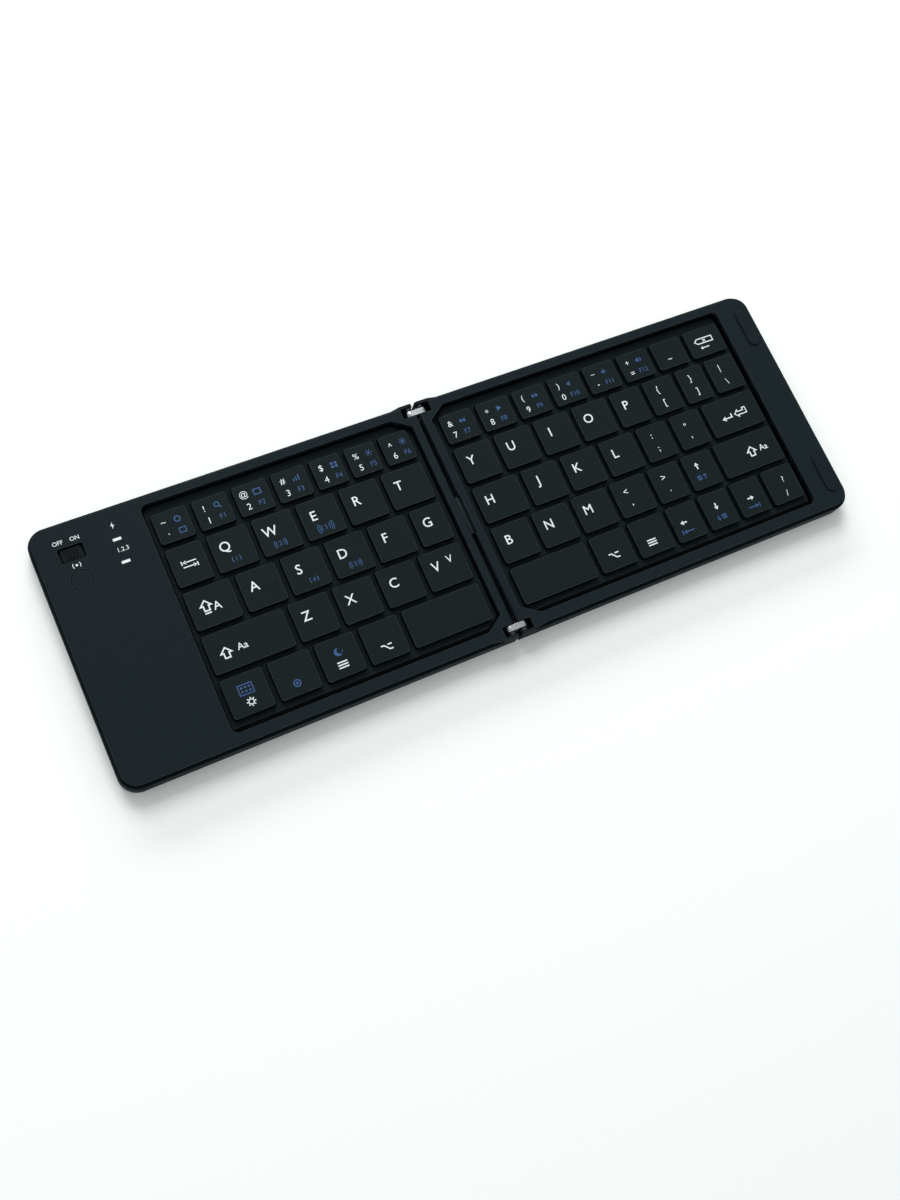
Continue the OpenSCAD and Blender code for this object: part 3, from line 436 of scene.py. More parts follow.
# ---------------------------------------------------------------- The link hinge
# At each end of the fold a bright nickel-plated link joins a pin of the left half to a pin of the
# right half. Blackened steel brackets, screwed down beside the key wells, carry the pins.

bracket_metal = machined("bracket_metal", (0.020, 0.021, 0.023), (0.045, 0.046, 0.050), rough=(0.4, 0.55),
                         along=(0.1, 1.0, 1.0))
dress(bracket_metal, "left_hinge_brackets", "right_hinge_brackets")

pin_metal = machined("pin_metal", (0.030, 0.031, 0.033), (0.060, 0.061, 0.064), rough=(0.35, 0.5),
                     along=(1.0, 0.08, 1.0))
dress(pin_metal, "left_hinge_pins", "right_hinge_pins")

link_metal = machined("link_metal", (0.34, 0.36, 0.37), (0.48, 0.50, 0.51), rough=(0.3, 0.42),
                      along=(0.12, 1.0, 1.0))
dress(link_metal, "rear_hinge_link", "front_hinge_link")
soften(0.15 * MM, "rear_hinge_link", "front_hinge_link")


# ---------------------------------------------------------------- The plates, contact sheets and domes
# Under the keys lie a rolled steel plate, a clear contact sheet with silver tracks printed on it,
# and a soft silicone dome for each key. A real dome flattens as its key goes down; here it keeps its shape.

plate_metal = machined("plate_metal", (0.40, 0.41, 0.42), (0.55, 0.56, 0.57), along=(0.06, 1.0, 1.0))
dress(plate_metal, "left_plate", "right_plate")


def contact_film():
    """Clear film, milky where it is thick, with a grid of printed silver tracks."""
    material, tree, shader, place = new_material("contact_film")
    tracks = add(tree, "TexBrick", {"Vector": place}, Scale=260.0)
    tracks.inputs["Mortar Size"].default_value = 0.05
    milky = blend_colours(tree, noise(tree, place, scale=300.0), (0.30, 0.34, 0.36), (0.42, 0.46, 0.48))
    tree.links.new(blend_colours(tree, tracks.outputs["Fac"], milky, (0.62, 0.62, 0.60)),
                   shader.inputs["Base Color"])
    tree.links.new(spread(tree, tracks.outputs["Fac"], 0.0, 1.0, 0.18, 0.4), shader.inputs["Roughness"])
    bump(tree, shader, tracks.outputs["Fac"], strength=0.3, distance=0.02 * MM)
    return material


dress(contact_film(), "left_membrane", "right_membrane")

dome_rubber = rubber("dome_rubber", (0.55, 0.55, 0.52), (0.68, 0.68, 0.64))

# The nodes of the keys of each half. The domes under one node's keys are one piece.
LEFT_KEYS = ("left_number_keys", "tab_key", "q_to_t_keys", "caps_key", "a_to_g_keys", "left_shift_key",
             "z_to_v_keys", "left_control_keys", "left_space_key")
RIGHT_KEYS = ("right_number_keys", "y_to_p_keys", "bracket_keys", "h_to_l_keys", "quote_keys", "enter_key",
              "b_to_stop_keys", "up_key", "right_shift_key", "right_space_key", "right_control_keys",
              "left_arrow_key", "down_key", "right_arrow_key", "slash_key")


def key_domes(side, key):
    """The domes under the keys of one node: a foot ring, a thin conical flank and a closed crown."""
    node = side + "_domes"
    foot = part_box(node)[0][2] + 0.01 * MM
    under_its_cap = 1.0 * MM
    caps = [(low + high) / 2 for low, high in islands(key)]
    domes = bmesh.new()
    for low, high in islands(node):
        middle, wide = (low + high) / 2, (high.x - low.x) / 2
        crown = high.z - 0.02 * MM
        outside = [(0.0, crown), (0.50 * wide, crown), (0.56 * wide, crown - 0.12 * MM),
                   (0.64 * wide, crown - 0.45 * MM), (0.86 * wide, foot + 0.45 * MM),
                   (0.93 * wide, foot + 0.3 * MM), (wide, foot + 0.25 * MM), (wide, foot)]
        inside = [(0.84 * wide, foot), (0.77 * wide, foot + 0.4 * MM), (0.53 * wide, crown - 0.5 * MM),
                  (0.0, crown - 0.45 * MM)]
        if min((middle - cap).to_2d().length for cap in caps) < under_its_cap:
            turned(domes, middle, outside + inside, steps=24)
    piece = new_piece(key.removesuffix("s") + "_domes", from_bmesh("domes", domes), dome_rubber, smooth=40)
    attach(piece, side + "_half")
    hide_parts(node)
    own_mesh(piece)


for key in LEFT_KEYS:
    key_domes("left", key)
for key in RIGHT_KEYS:
    key_domes("right", key)


# ---------------------------------------------------------------- The circuit board and what it carries
# A green board in the left half holds the slide switch, the push switch, a diode under each light
# window and the charging socket. The foil-wrapped cell lies in front of it.

def circuit_board():
    """Solder mask over copper: darker bare areas, raised tracks and a fine weave of the glass."""
    material, tree, shader, place = new_material("circuit_board")
    tracks = add(tree, "TexBrick", {"Vector": place}, Scale=420.0)
    tracks.inputs["Mortar Size"].default_value = 0.035
    weave = spread(tree, noise(tree, place, scale=4200.0, detail=2.0), 0.4, 0.6)
    mask = blend_colours(tree, weave, (0.010, 0.070, 0.036), (0.014, 0.095, 0.048))
    tree.links.new(blend_colours(tree, tracks.outputs["Fac"], mask, (0.030, 0.170, 0.085)),
                   shader.inputs["Base Color"])
    tree.links.new(spread(tree, weave, 0.0, 1.0, 0.25, 0.38), shader.inputs["Roughness"])
    bump(tree, shader, tracks.outputs["Fac"], strength=0.4, distance=0.03 * MM)
    return material


dress(circuit_board(), "circuit_board")

switch_plastic = moulded("switch_plastic", (0.24, 0.25, 0.27), (0.32, 0.33, 0.35), gloss=0.4)
dress(switch_plastic, "option_switch", "connect_switch")


def clear_moulding(name, colour, lighter):
    """Milky clear plastic that spreads the light of a diode, with a faint cloud in it."""
    material, tree, shader, place = new_material(name)
    cloud = spread(tree, noise(tree, place, scale=700.0, detail=3.0), 0.3, 0.7)
    tree.links.new(blend_colours(tree, cloud, colour, lighter), shader.inputs["Base Color"])
    tree.links.new(spread(tree, cloud, 0.0, 1.0, 0.25, 0.4), shader.inputs["Roughness"])
    bump(tree, shader, noise(tree, place, scale=3000.0), strength=0.1, distance=0.01 * MM)
    return material


dress(clear_moulding("diode", (0.62, 0.60, 0.50), (0.80, 0.78, 0.70)), "indicator_leds")
dress(clear_moulding("light_guide", (0.58, 0.62, 0.63), (0.78, 0.81, 0.82)), "charge_light", "status_light")

socket_metal = machined("socket_metal", (0.60, 0.60, 0.61), (0.76, 0.76, 0.77), along=(1.0, 0.1, 1.0))
dress(socket_metal, "usb_socket")
soften(0.1 * MM, "usb_socket")


def battery_wrap():
    """Dull foil round a cell, slightly crumpled along its seams, with painted shade along its creases."""
    material, tree, shader, place = new_material("battery_wrap")
    creases = add(tree, "TexVoronoi", {"Vector": place}, Scale=120.0, feature="DISTANCE_TO_EDGE")
    folded = spread(tree, creases.outputs["Distance"], 0.0, 0.12)
    # Painted shade: the foil is darker along its creases.
    tree.links.new(blend_colours(tree, folded, (0.36, 0.37, 0.39), (0.50, 0.51, 0.53)),
                   shader.inputs["Base Color"])
    tree.links.new(spread(tree, folded, 0.0, 1.0, 0.45, 0.3), shader.inputs["Roughness"])
    shader.inputs["Metallic"].default_value = 0.9
    bump(tree, shader, folded, strength=0.4, distance=0.05 * MM)
    return material


dress(battery_wrap(), "battery")


# ---------------------------------------------------------------- The key decks
# The deck of each half is a thin plate with a window for every key and a groove along its edge. It
# is moulded from much the same plastic as the covers. Hardly any light gets into its groove, and
# painted shade darkens the groove and the deck close to the walls and keys.

under_its_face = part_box("left_key_frame")[1][2] - 0.15 * MM
# Painted shade: the deck goes nearly black in its groove, below its face, and within 1.8 mm of a wall.
deck_plastic = moulded("deck_plastic", (0.0062, 0.0102, 0.0118), (0.0100, 0.0150, 0.0175), grain=3200.0,
                       shade=1.8 * MM, dark_below=under_its_face)
dress(deck_plastic, "left_key_frame", "right_key_frame")


# ---------------------------------------------------------------- The keys
# Each key is a hollow cap with a flat top, rounded corners and a small radius round its top. Its
# plastic is a little smoother than the case, polished in places by fingers.

# A strong painted highlight along the key edges stands in for glints; painted shade darkens them near walls.
key_plastic = moulded("key_plastic", (0.0061, 0.0101, 0.0115), (0.0099, 0.0151, 0.0170), rough=(0.40, 0.54),
                      gloss=0.035, grain=3600.0, depth=0.02 * MM, strength=0.28, edge_highlight=0.9)
dress(key_plastic, *LEFT_KEYS, *RIGHT_KEYS)
soften(0.35 * MM, *LEFT_KEYS, *RIGHT_KEYS, steps=3)


# ---------------------------------------------------------------- The covers and the panel
# The top covers are screwed on from below and clamp the decks. The left one carries the slide
# switch's ribbed knob, the push button and two milky light windows.

# A painted highlight along the cover edges stands in for glints; painted shade darkens them within 3 mm of a
# wall.
cover_plastic = moulded("cover_plastic", (0.0068, 0.0115, 0.0144), (0.0112, 0.0174, 0.0212), edge_highlight=0.7,
                        shade=3.0 * MM)
dress(cover_plastic, "left_cover", "right_cover", "connect_button")
soften(0.2 * MM, "left_cover", "right_cover")
soften(0.12 * MM, "connect_button")

knob_plastic = moulded("knob_plastic", (0.0064, 0.0100, 0.0118), (0.0104, 0.0150, 0.0172))
dress(knob_plastic, "option_knob")
soften(0.15 * MM, "option_knob")


def knob_ribs():
    """Raised ribs across the knob, for the fingertip, with their sizes in millimetres.

    section is (across, up) round a rib, and sizes_along is (place along it, how full the section is).
    """
    low, high = [Vector(corner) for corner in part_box("option_knob")]
    middle = (low + high) / 2
    pitch = 1.1
    section = [(-0.26, -0.05), (-0.2, 0.3), (-0.08, 0.42), (0.08, 0.42), (0.2, 0.3), (0.26, -0.05)]
    sizes_along = ((-1.9, 0.5), (-1.75, 1.0), (1.75, 1.0), (1.9, 0.5))
    ribs = bmesh.new()
    for i in range(-2, 3):
        x = middle.x + pitch * i * MM
        rings = [[ribs.verts.new((x + across * size * MM, middle.y + y * MM, high.z + up * size * MM))
                  for across, up in section] for y, size in sizes_along]
        for first, second in zip(rings, rings[1:]):
            for j in range(len(section)):
                ribs.faces.new((first[j - 1], first[j], second[j], second[j - 1]))
        ribs.faces.new(rings[0])
        ribs.faces.new(rings[-1])
    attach(new_piece("knob_ribs", from_bmesh("knob_ribs", ribs), knob_plastic, smooth=40), "option_knob")


knob_ribs()


# ---------------------------------------------------------------- The magnets and closing pads
# Nickel-plated magnets under the outer edges hold the halves shut. Two soft pads on the right
# half keep the covers from knocking together.

magnet_metal = machined("magnet", (0.62, 0.62, 0.63), (0.74, 0.74, 0.75))
dress(magnet_metal, "left_magnets", "right_magnets")

pad_rubber = moulded("pad_rubber", (0.0066, 0.0112, 0.0138), (0.0108, 0.0168, 0.0204), rough=(0.5, 0.65),
                     grain=1500.0, depth=0.05 * MM, strength=0.5)
dress(pad_rubber, "closing_pads")
soften(0.3 * MM, "closing_pads", steps=3)


# ---------------------------------------------------------------- The flat cable
# A flat cable in a soft dark sleeve crosses the fold through openings in the walls of both halves and
# carries the signals of the right one. In the real keyboard its low wave over the fold opens as the halves
# close; here the sleeve keeps its shape and stays where it is laid.

sleeve_rubber = rubber("sleeve_rubber", (0.0060, 0.0095, 0.0120), (0.0105, 0.0150, 0.0180))


def sleeve_path(side):
    """The middle line of the sleeve, from inside one half up to the middle of the fold.

    Its points are (distance from the fold, height) in millimetres: first a bend up to the level at
    which it crosses, then half of a low wave.
    """
    level, wave, wave_end, steps = 6.6, 0.75, 1.95, 14
    points = [(2.5, 1.9), (2.5, 3.4), (2.5, 4.8), (2.5, 5.9), (2.42, 6.25), (2.2, 6.5)]
    for i in range(steps + 1):
        across = wave_end * (1 - i / steps)
        points.append((across, level + wave * math.exp(-(across / wave) ** 2)))
    return [Vector((side * x, 0, z)) * MM for x, z in points]


def sleeve_half(side, half):
    """A strip with round edges along one side of the path, from its half to the links."""
    y_low, y_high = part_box("flex_cable")[0][1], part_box("flex_cable")[1][1]
    half_thick, steps = 0.3 * MM, 8
    path = sleeve_path(side)
    section = []
    for y, first in ((y_high - half_thick, 90), (y_low + half_thick, 270)):
        for i in range(steps + 1):
            angle = math.radians(first - 180 * i / steps)
            section.append((y + half_thick * math.cos(angle), half_thick * math.sin(angle)))
    strip, rings = bmesh.new(), []
    for i, point in enumerate(path):
        before, after = path[max(i - 1, 0)], path[min(i + 1, len(path) - 1)]
        ahead = (after - before).normalized()
        if i == len(path) - 1:
            ahead = Vector((-side, 0, 0))
        rise = Vector((0, 1, 0)).cross(ahead) * side
        rings.append([strip.verts.new(point + Vector((0, y, 0)) + rise * up) for y, up in section])
    for first, second in zip(rings, rings[1:]):
        for i in range(len(section)):
            j = (i + 1) % len(section)
            strip.faces.new((first[i], first[j], second[j], second[i]))
    strip.faces.new(rings[0])
    strip.faces.new(rings[-1])
    name = "cable_sleeve_" + half
    piece = new_piece(name, from_bmesh(name, strip), sleeve_rubber, smooth=50)
    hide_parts("flex_cable")
    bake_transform(piece)


sleeve_half(-1, "left")
sleeve_half(1, "right")


# ---------------------------------------------------------------- The printed marks
# Letters, digits and signs are pad-printed on the keys and the panel in white and blue ink, a film
# about a fiftieth of a millimetre thick. Plain signs stand where other keyboards have words.

INK_FILM = 0.02 * MM
INK_SUNK = 0.004 * MM


def ink(name, colour, lighter):
    """Matt two-part ink: its tone varies a little where the pad left more or less of it."""
    material, tree, shader, place = new_material(name)
    laid = spread(tree, noise(tree, place, scale=1500.0, detail=3.0), 0.3, 0.7)
    tree.links.new(blend_colours(tree, laid, colour, lighter), shader.inputs["Base Color"])
    tree.links.new(spread(tree, laid, 0.0, 1.0, 0.5, 0.62), shader.inputs["Roughness"])
    shader.inputs["Specular IOR Level"].default_value = 0.2
    bump(tree, shader, noise(tree, place, scale=6000.0), strength=0.2, distance=0.004 * MM)
    return material


white_ink = ink("white_ink", (0.58, 0.62, 0.63), (0.74, 0.77, 0.78))
blue_ink = ink("blue_ink", (0.026, 0.068, 0.175), (0.038, 0.092, 0.230))


def arc(x, y, radius, start=0.0, turn=360.0, steps=20):
    """Points on an arc in millimetres; a whole turn doesn't repeat its first point."""
    count = steps if turn == 360.0 else steps + 1
    angles = [math.radians(start + turn * i / steps) for i in range(count)]
    return [(x + radius * math.cos(a), y + radius * math.sin(a)) for a in angles]


def rays(count, width, inner, outer):
    """Short lines all round a middle, from one radius to another."""
    turns = [2 * math.pi * i / count for i in range(count)]
    return [("line", width, [(r * math.cos(turn), r * math.sin(turn)) for r in (inner, outer)])
            for turn in turns]


def sun(count):
    """A dot with rays round it."""
    return [("fill", 0, arc(0, 0, 0.5))] + rays(count, 0.3, 0.8, 1.35)


def waves(count):
    """Arcs on both sides of a digit, for a radio channel."""
    return [("line", 0.3, arc(0, 0, 1.6 + 0.8 * i, middle - 38, 76, 8))
            for i in range(count) for middle in (0, 180)]


def loudness(count):
    """A loudspeaker with arcs before it."""
    horn = [("fill", 0, [(-1.3, 0.4), (-0.7, 0.4), (0.0, 1.1), (0.0, -1.1), (-0.7, -0.4), (-1.3, -0.4)])]
    return horn + [("line", 0.28, arc(0, 0, 0.6 + 0.55 * i, -45, 90, 8)) for i in range(count)]


def block(x, y, half_w, half_h):
    """A filled rectangle about a place."""
    return ("fill", 0, [(x - half_w, y - half_h), (x + half_w, y - half_h), (x + half_w, y + half_h),
                        (x - half_w, y + half_h)])


# Each sign is a list of (kind, line width, points), drawn in millimetres about its middle.
UP_ARROW = [(0, 2.0), (-1.95, 0.05), (-0.95, 0.05), (-0.95, -1.8), (0.95, -1.8), (0.95, 0.05), (1.95, 0.05)]
SIGNS = {
    "arrow": [("line", 0.55, [(-1.3, 0), (0.4, 0)]), ("fill", 0, [(0.2, 0.95), (1.5, 0), (0.2, -0.95)])],
    "shift": [("loop", 0.5, UP_ARROW)],
    "caps": [("loop", 0.5, [(x, y + 0.6) for x, y in UP_ARROW]), ("line", 0.5, [(-1.2, -2.1), (1.2, -2.1)])],
    "tab": [("line", 0.42, [(-1.6, 0.85), (2.6, 0.85)]),
            ("fill", 0, [(-1.2, 1.6), (-2.4, 0.85), (-1.2, 0.1)]),
            ("line", 0.42, [(-2.7, 1.6), (-2.7, 0.1)]), ("line", 0.42, [(-2.6, -0.85), (1.6, -0.85)]),
            ("fill", 0, [(1.2, -0.1), (2.4, -0.85), (1.2, -1.6)]),
            ("line", 0.42, [(2.7, -0.1), (2.7, -1.6)])],
    "control": [("loop", 0.45, arc(0, 0, 0.95))] + rays(8, 0.4, 0.95, 1.7),
    "function": [("loop", 0.45, arc(0, 0, 1.2)), ("fill", 0, arc(0, 0, 0.5))],
    "menu": [("line", 0.5, [(-1.9, y), (1.9, y)]) for y in (1.0, 0.0, -1.0)],
    "alternate": [("line", 0.48, [(-2.1, 0.9), (-0.9, 0.9), (0.8, -0.9), (2.1, -0.9)]),
                  ("line", 0.48, [(0.5, 0.9), (2.1, 0.9)])],
    "enter": [("line", 0.5, [(2.1, 1.3), (2.1, -0.3), (-1.0, -0.3)]),
              ("fill", 0, [(-0.8, 0.75), (-2.4, -0.3), (-0.8, -1.35)])],
    "return": [("loop", 0.4, [(-2.7, -0.2), (-1.2, 1.2), (-1.2, 0.5), (1.3, 0.5), (1.3, 1.5), (2.6, 1.5),
                              (2.6, -0.9), (-1.2, -0.9), (-1.2, -1.6)])],
    "erase": [("loop", 0.42, [(-4.1, 0), (-2.9, 1.05), (4.0, 1.05), (4.0, -1.05), (-2.9, -1.05)]),
              ("line", 0.4, [(-0.4, 0.5), (0.8, -0.5)]), ("line", 0.4, [(-0.4, -0.5), (0.8, 0.5)])],
    "back": [("line", 0.42, [(-1.2, 0), (2.0, 0)]), ("fill", 0, [(-1.0, 0.7), (-2.1, 0), (-1.0, -0.7)])],
    "blank": [("loop", 0.4, [(-2.7, 1.9), (2.7, 1.9), (2.7, -1.9), (-2.7, -1.9)])]
    + [block(x, y, 0.45, 0.35) for x in (-1.5, 0.0, 1.5) for y in (-0.75, 0.75)],
    "moon": [("fill", 0, arc(0, 0, 1.5, 80, 290, 24) + arc(0.75, 0.3, 1.15, 0, -245, 20))],
    "ring": [("loop", 0.4, arc(0, 0, 1.0))],
    "search": [("loop", 0.38, arc(-0.3, 0.3, 0.85)), ("line", 0.45, [(0.35, -0.35), (1.2, -1.2)])],
    "frame": [("loop", 0.38, [(-1.3, 1.0), (1.3, 1.0), (1.3, -1.0), (-1.3, -1.0)])],
    "bars": [("line", 0.45, [(x, -1.1), (x, top)]) for x, top in ((-1.0, -0.2), (0.0, 0.4), (1.0, 1.1))],
    "grid": [block(x, y, 0.5, 0.45) for x in (-0.75, 0.75) for y in (-0.65, 0.65)],
    "sun": sun(8), "dim": sun(6),
    "play": [("fill", 0, [(-0.9, 1.1), (1.1, 0), (-0.9, -1.1)])],
    "rewind": [("fill", 0, [(x + 1.0, 0.9), (x - 0.3, 0), (x + 1.0, -0.9)]) for x in (-1.2, 0.2)],
    "forward": [("fill", 0, [(x - 1.0, 0.9), (x + 0.3, 0), (x - 1.0, -0.9)]) for x in (1.2, -0.2)],
    "mute": loudness(0), "quiet": loudness(1), "loud": loudness(2),
    "one_wave": waves(1), "two_waves": waves(2), "three_waves": waves(3),
    "line_start": [("line", 0.42, [(-2.5, 0.9), (-2.5, -0.9)]), ("line", 0.42, [(-1.0, 0), (2.5, 0)]),
                   ("fill", 0, [(-0.8, 0.85), (-2.0, 0), (-0.8, -0.85)])],
    "page": [("line", 0.42, [(-2.3, y), (-0.3, y)]) for y in (0.7, 0.0, -0.7)] + [
        ("line", 0.42, [(1.2, -1.0), (1.2, 0.4)]), ("fill", 0, [(0.4, 0.2), (1.2, 1.2), (2.0, 0.2)])],
    "bolt": [("fill", 0, [(0.35, 1.4), (-0.75, -0.1), (-0.05, -0.1), (-0.35, -1.4), (0.75, 0.2),
                          (0.05, 0.2)])],
    "dot": [("fill", 0, arc(0, 0, 0.45))],
}


@functools.cache
def draw_letters(words):
    """Characters in Blender's own plain letters, one unit thick, drawn once. Letters are a little bold."""
    curve = bpy.data.curves.new("letters", "FONT")
    curve.body = words
    curve.resolution_u = 4
    curve.offset = 0.006 if words.isalpha() else 0.0
    curve.extrude = 0.5
    carrier = bpy.data.objects.new("letters", curve)
    bpy.context.scene.collection.objects.link(carrier)
    shapes = carrier.evaluated_get(bpy.context.evaluated_depsgraph_get())
    mesh = bpy.data.meshes.new_from_object(shapes)
    bpy.data.objects.remove(carrier)
    return mesh


def span(mesh, axis):
    """The lowest and highest place of a mesh along an axis."""
    places = [vert.co[axis] for vert in mesh.vertices]
    return min(places), max(places)


CAPITAL = span(draw_letters("H"), 1)[1] - span(draw_letters("H"), 1)[0]


def edges_of_line(points, width, closed):
    """The two edges of a line of ink, with mitred corners."""
    sharpest_mitre = 0.35
    edges = ([], [])
    for i, here in enumerate(points):
        before = points[i - 1] if closed or i else None
        after = points[(i + 1) % len(points)] if closed or i < len(points) - 1 else None
        legs = [(Vector(b) - Vector(a)).normalized() for a, b in ((before, here), (here, after)) if a and b]
        along = sum(legs, Vector((0, 0))).normalized()
        reach = width / 2 / max(sharpest_mitre, along.dot(legs[0]))
        for edge, side in zip(edges, (1, -1)):
            edge.append((here[0] - along.y * reach * side, here[1] + along.x * reach * side))
    return edges


def lay_ink(film, kind, width, points):
    """Adds one closed film of ink, one unit thick: a filled outline, a line, or a line that closes."""
    def both_levels(outline):
        return [[film.verts.new((x, y, level)) for x, y in outline] for level in (0.5, -0.5)]

    if kind == "fill":
        top, low = both_levels(points)
        film.faces.new(top)
        film.faces.new(low)
        for i in range(len(points)):
            film.faces.new((top[i - 1], top[i], low[i], low[i - 1]))
        return
    closed = kind == "loop"
    (top_a, low_a), (top_b, low_b) = [both_levels(edge) for edge in edges_of_line(points, width, closed)]
    for i in range(0 if closed else 1, len(points)):
        for first, second in ((top_a, top_b), (top_b, low_b), (low_b, low_a), (low_a, top_a)):
            film.faces.new((first[i - 1], first[i], second[i], second[i - 1]))
    if not closed:
        for i in (0, -1):
            film.faces.new((top_a[i], top_b[i], low_b[i], low_a[i]))


def mark_mesh(what, size, turn):
    """One mark as a mesh about its own middle, in metres: a sign by its name, or characters."""
    if what in SIGNS:
        film = bmesh.new()
        for kind, width, points in SIGNS[what]:
            lay_ink(film, kind, width, points)
        mesh = from_bmesh("sign", film)
        scale = size * MM
        middle = Vector((0, 0, 0))
    else:
        mesh = draw_letters(what).copy()
        scale = size * MM / CAPITAL
        middle = Vector((sum(span(mesh, 0)) / 2, sum(span(mesh, 1)) / 2, 0))
    mesh.transform(Matrix.Rotation(math.radians(turn), 4, "Z") @ Matrix.Diagonal((scale, scale, INK_FILM, 1))
                   @ Matrix.Translation(-middle))
    return mesh


def print_marks(name, material, body, marks):
    """One piece of ink on a body. marks is a list of (what, size, turn, place)."""
    film = bmesh.new()
    for what, size, turn, place in marks:
        mesh = mark_mesh(what, size, turn)
        mesh.transform(Matrix.Translation(place + Vector((0, 0, INK_FILM / 2 - INK_SUNK))))
        film.from_mesh(mesh)
        bpy.data.meshes.remove(mesh)
    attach(new_piece(name, from_bmesh(name, film), material), body)


def key_corners(node):
    """The front left corner of the top of each key of a node, from left to right."""
    return [Vector((low.x, low.y, high.z)) for low, high in islands(node)]


def at(what, x, y, size=1.0, turn=0.0):
    """A mark at a place in millimetres from the front left corner of its key."""
    return what, size, turn, Vector((x, y, 0)) * MM


def main_letter(letter, *more):
    """The letter of a key, and what else stands on it."""
    return [at(letter, x=5.4, y=9.0, size=3.6), *more]


def number_marks(upper, digit):
    """A digit with its sign over it."""
    return [at(upper, x=3.9, y=8.2, size=2.3), at(digit, x=4.3, y=3.5, size=2.4)]


def two_rows(upper, lower):
    """Two signs, one over the other."""
    return [at(upper, x=5.6, y=10.3, size=2.6), at(lower, x=6.2, y=4.4, size=2.6)]


# The marks of each key of a node, from left to right.
WHITE_MARKS = {
    "left_number_keys": [number_marks(*pair) for pair in ("~`", "!1", "@2", "#3", "$4", "%5", "^6")],
    "tab_key": [[at("tab", 7.0, 7.8)]],
    "q_to_t_keys": [main_letter(letter) for letter in "QWERT"],
    "caps_key": [[at("caps", 6.4, 7.6), at("A", 10.2, 7.2, 3.0)]],
    "a_to_g_keys": [main_letter(letter) for letter in "ASDFG"],
    "left_shift_key": [[at("shift", 6.7, 6.8), at("Aa", 12.8, 7.4, 2.5)]],
    "z_to_v_keys": [main_letter(letter) for letter in "ZXC"] + [main_letter("V", at("V", 11.3, 10.2, 2.7))],
    "left_control_keys": [[at("control", 8.2, 4.6)], [], [at("menu", 7.7, 4.9)],
                          [at("alternate", 7.7, 4.9)]],
    "right_number_keys": [number_marks(*pair) for pair in ("&7", "*8", "(9", ")0", "_-", "+=")]
    + [[at("~", 6.3, 4.0, 2.4)], [at("erase", 7.9, 6.9), at("back", 7.3, 3.9)]],
    "y_to_p_keys": [main_letter(letter) for letter in "YUIOP"],
    "bracket_keys": [two_rows(*pair) for pair in ("{[", "}]", "|\\")],
    "h_to_l_keys": [main_letter(letter) for letter in "HJKL"],
    "quote_keys": [two_rows(*pair) for pair in (":;", "\"'")],
    "enter_key": [[at("enter", 8.8, 6.9), at("return", 15.2, 7.4)]],
    "b_to_stop_keys": [main_letter(letter) for letter in "BNM"] + [two_rows(*pair) for pair in ("<,", ">.")],
    "up_key": [[at("arrow", 5.6, 9.8, turn=90)]],
    "right_shift_key": [[at("shift", 15.1, 7.5), at("Aa", 20.6, 7.8, 2.4)]],
    "right_control_keys": [[at("alternate", 7.3, 5.7)], [at("menu", 6.8, 5.2)]],
    "left_arrow_key": [[at("arrow", 5.3, 7.7, turn=180)]],
    "down_key": [[at("arrow", 6.1, 9.2, turn=270)]],
    "right_arrow_key": [[at("arrow", 6.4, 7.2)]],
    "slash_key": [[at("?", 8.4, 9.6, 2.4), at("/", 7.4, 3.8, 2.4)]],
}


def function_marks(icon, number):
    """The second use of a number key: a sign over a letter with a number."""
    return [at(icon, x=9.0, y=8.1), at(number, x=9.3, y=3.6, size=1.9)]


def channel_marks(digit, arcs, x, y):
    """A digit between the arcs of a radio channel."""
    return [at(digit, x, y, size=1.7), at(arcs, x, y, size=0.95)]


LEFT_ICONS = ("ring", "search", "frame", "bars", "grid", "dim", "sun")
RIGHT_ICONS = ("rewind", "play", "forward", "mute", "quiet", "loud")
BLUE_MARKS = {
    "left_number_keys": [[at("ring", 9.0, 8.1), at("frame", 9.4, 3.6, 0.9)]]
    + [function_marks(icon, f"F{i + 1}") for i, icon in enumerate(LEFT_ICONS[1:])],
    "q_to_t_keys": [channel_marks("1", "one_wave", 7.7, 3.8), channel_marks("2", "two_waves", 7.4, 3.6),
                    channel_marks("3", "three_waves", 8.0, 3.6), [], []],
    "a_to_g_keys": [[], channel_marks("4", "one_wave", 9.2, 3.7), channel_marks("5", "two_waves", 8.4, 3.8),
                    [], []],
    "left_control_keys": [[at("blank", 8.0, 9.4, 0.95)], [at("function", 7.7, 4.7)],
                          [at("moon", 7.7, 9.7)], []],
    "right_number_keys": [function_marks(icon, f"F{i + 7}") for i, icon in enumerate(RIGHT_ICONS)] + [[], []],
    "up_key": [[at("page", 5.8, 5.0)]],
    "left_arrow_key": [[at("line_start", 5.6, 4.0)]],
    "down_key": [[at("page", 6.2, 4.4, turn=180)]],
    "right_arrow_key": [[at("line_start", 6.3, 3.6, turn=180)]],
}

for colour, material, table in (("white", white_ink, WHITE_MARKS), ("blue", blue_ink, BLUE_MARKS)):
    for node, keys in table.items():
        marks = []
        for corner, signs in zip(key_corners(node), keys, strict=True):
            marks += [(what, size, turn, corner + place) for what, size, turn, place in signs]
        print_marks(f"{colour}_marks_{node}", material, node, marks)

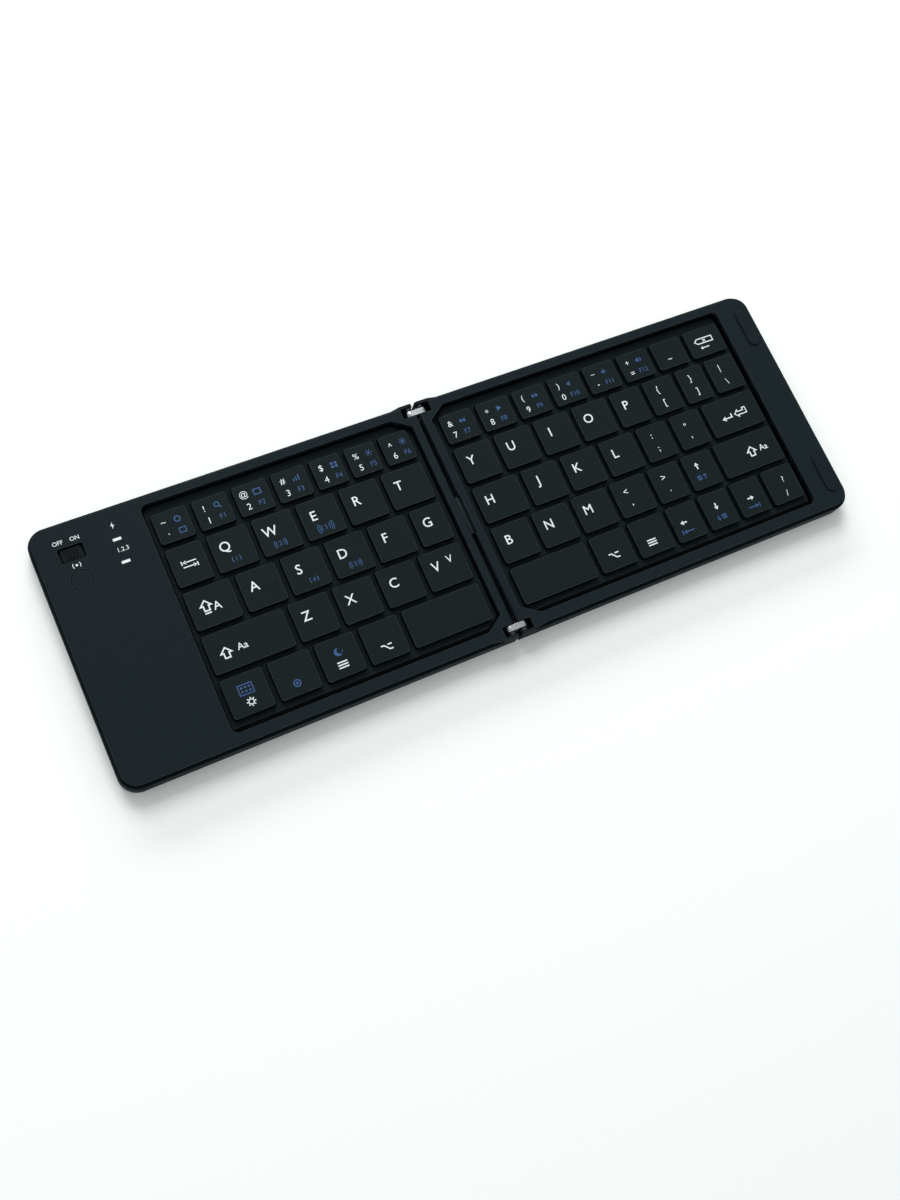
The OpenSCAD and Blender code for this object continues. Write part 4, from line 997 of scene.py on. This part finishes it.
# On the panel a mark is (what, size, x, y), in millimetres in the frame of the solids.
PANEL_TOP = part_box("left_cover")[1][2]
PANEL_MARKS = (("OFF", 1.5, -139.4, 41.4), ("ON", 1.5, -133.4, 41.4), ("dot", 1.0, -136.0, 31.7),
               ("one_wave", 0.85, -136.0, 31.7), ("1.2.3", 1.6, -119.3, 31.9), ("bolt", 0.95, -119.9, 41.2))
print_marks("white_marks_panel", white_ink, "left_half",
            [(what, size, 0.0, Vector((x * MM, y * MM, PANEL_TOP))) for what, size, x, y in PANEL_MARKS])


# ---------------------------------------------------------------- The table and the light
# A plain white table in a bright room. A soft light hangs above and behind the keyboard, and a low
# one stands at its rear, draws a glint along the edges there and leaves a soft shadow in front.

def floor():
    """A white sheet of paper on the table, far wider than the view."""
    reach = 6.0
    material, tree, shader, place = new_material("white_paper")
    fibres = spread(tree, noise(tree, place, scale=900.0, detail=4.0), 0.3, 0.7)
    tree.links.new(blend_colours(tree, fibres, (0.86, 0.875, 0.87), (0.88, 0.89, 0.885)),
                   shader.inputs["Base Color"])
    tree.links.new(spread(tree, fibres, 0.0, 1.0, 0.8, 0.9), shader.inputs["Roughness"])
    shader.inputs["Specular IOR Level"].default_value = 0.1
    mesh = bpy.data.meshes.new("floor")
    corners = [(-reach, -reach, 0), (reach, -reach, 0), (reach, reach, 0), (-reach, reach, 0)]
    mesh.from_pydata(corners, [], [(0, 1, 2, 3)])
    mesh.materials.append(material)
    sheet = bpy.data.objects.new("floor", mesh)
    bpy.context.scene.collection.objects.link(sheet)


def soft_light(name, place, width, height, power):
    """A rectangular soft box of nearly white light, which faces the middle of the keyboard."""
    data = bpy.data.lights.new(name, "AREA")
    data.shape = "RECTANGLE"
    data.size = width
    data.size_y = height
    data.energy = power
    data.color = (1.0, 1.0, 0.99)
    light = bpy.data.objects.new(name, data)
    place = Vector(place)
    aim = (-place).to_track_quat("-Z", "Y").to_matrix().to_4x4()
    light.matrix_world = Matrix.Translation(place) @ aim
    bpy.context.scene.collection.objects.link(light)


floor()
soft_light("main_light", (0.10, 1.30, 1.35), width=1.0, height=0.8, power=20.0)
soft_light("rear_light", (0.05, 1.25, 0.42), width=1.6, height=0.3, power=15.0)
surroundings = bpy.data.worlds.new("surroundings")
surroundings.use_nodes = True
sky = surroundings.node_tree.nodes["Background"]
sky.inputs["Color"].default_value = (0.945, 1.0, 0.99, 1.0)
sky.inputs["Strength"].default_value = 0.64
bpy.context.scene.world = surroundings
bpy.context.scene.view_settings.view_transform = "Standard"
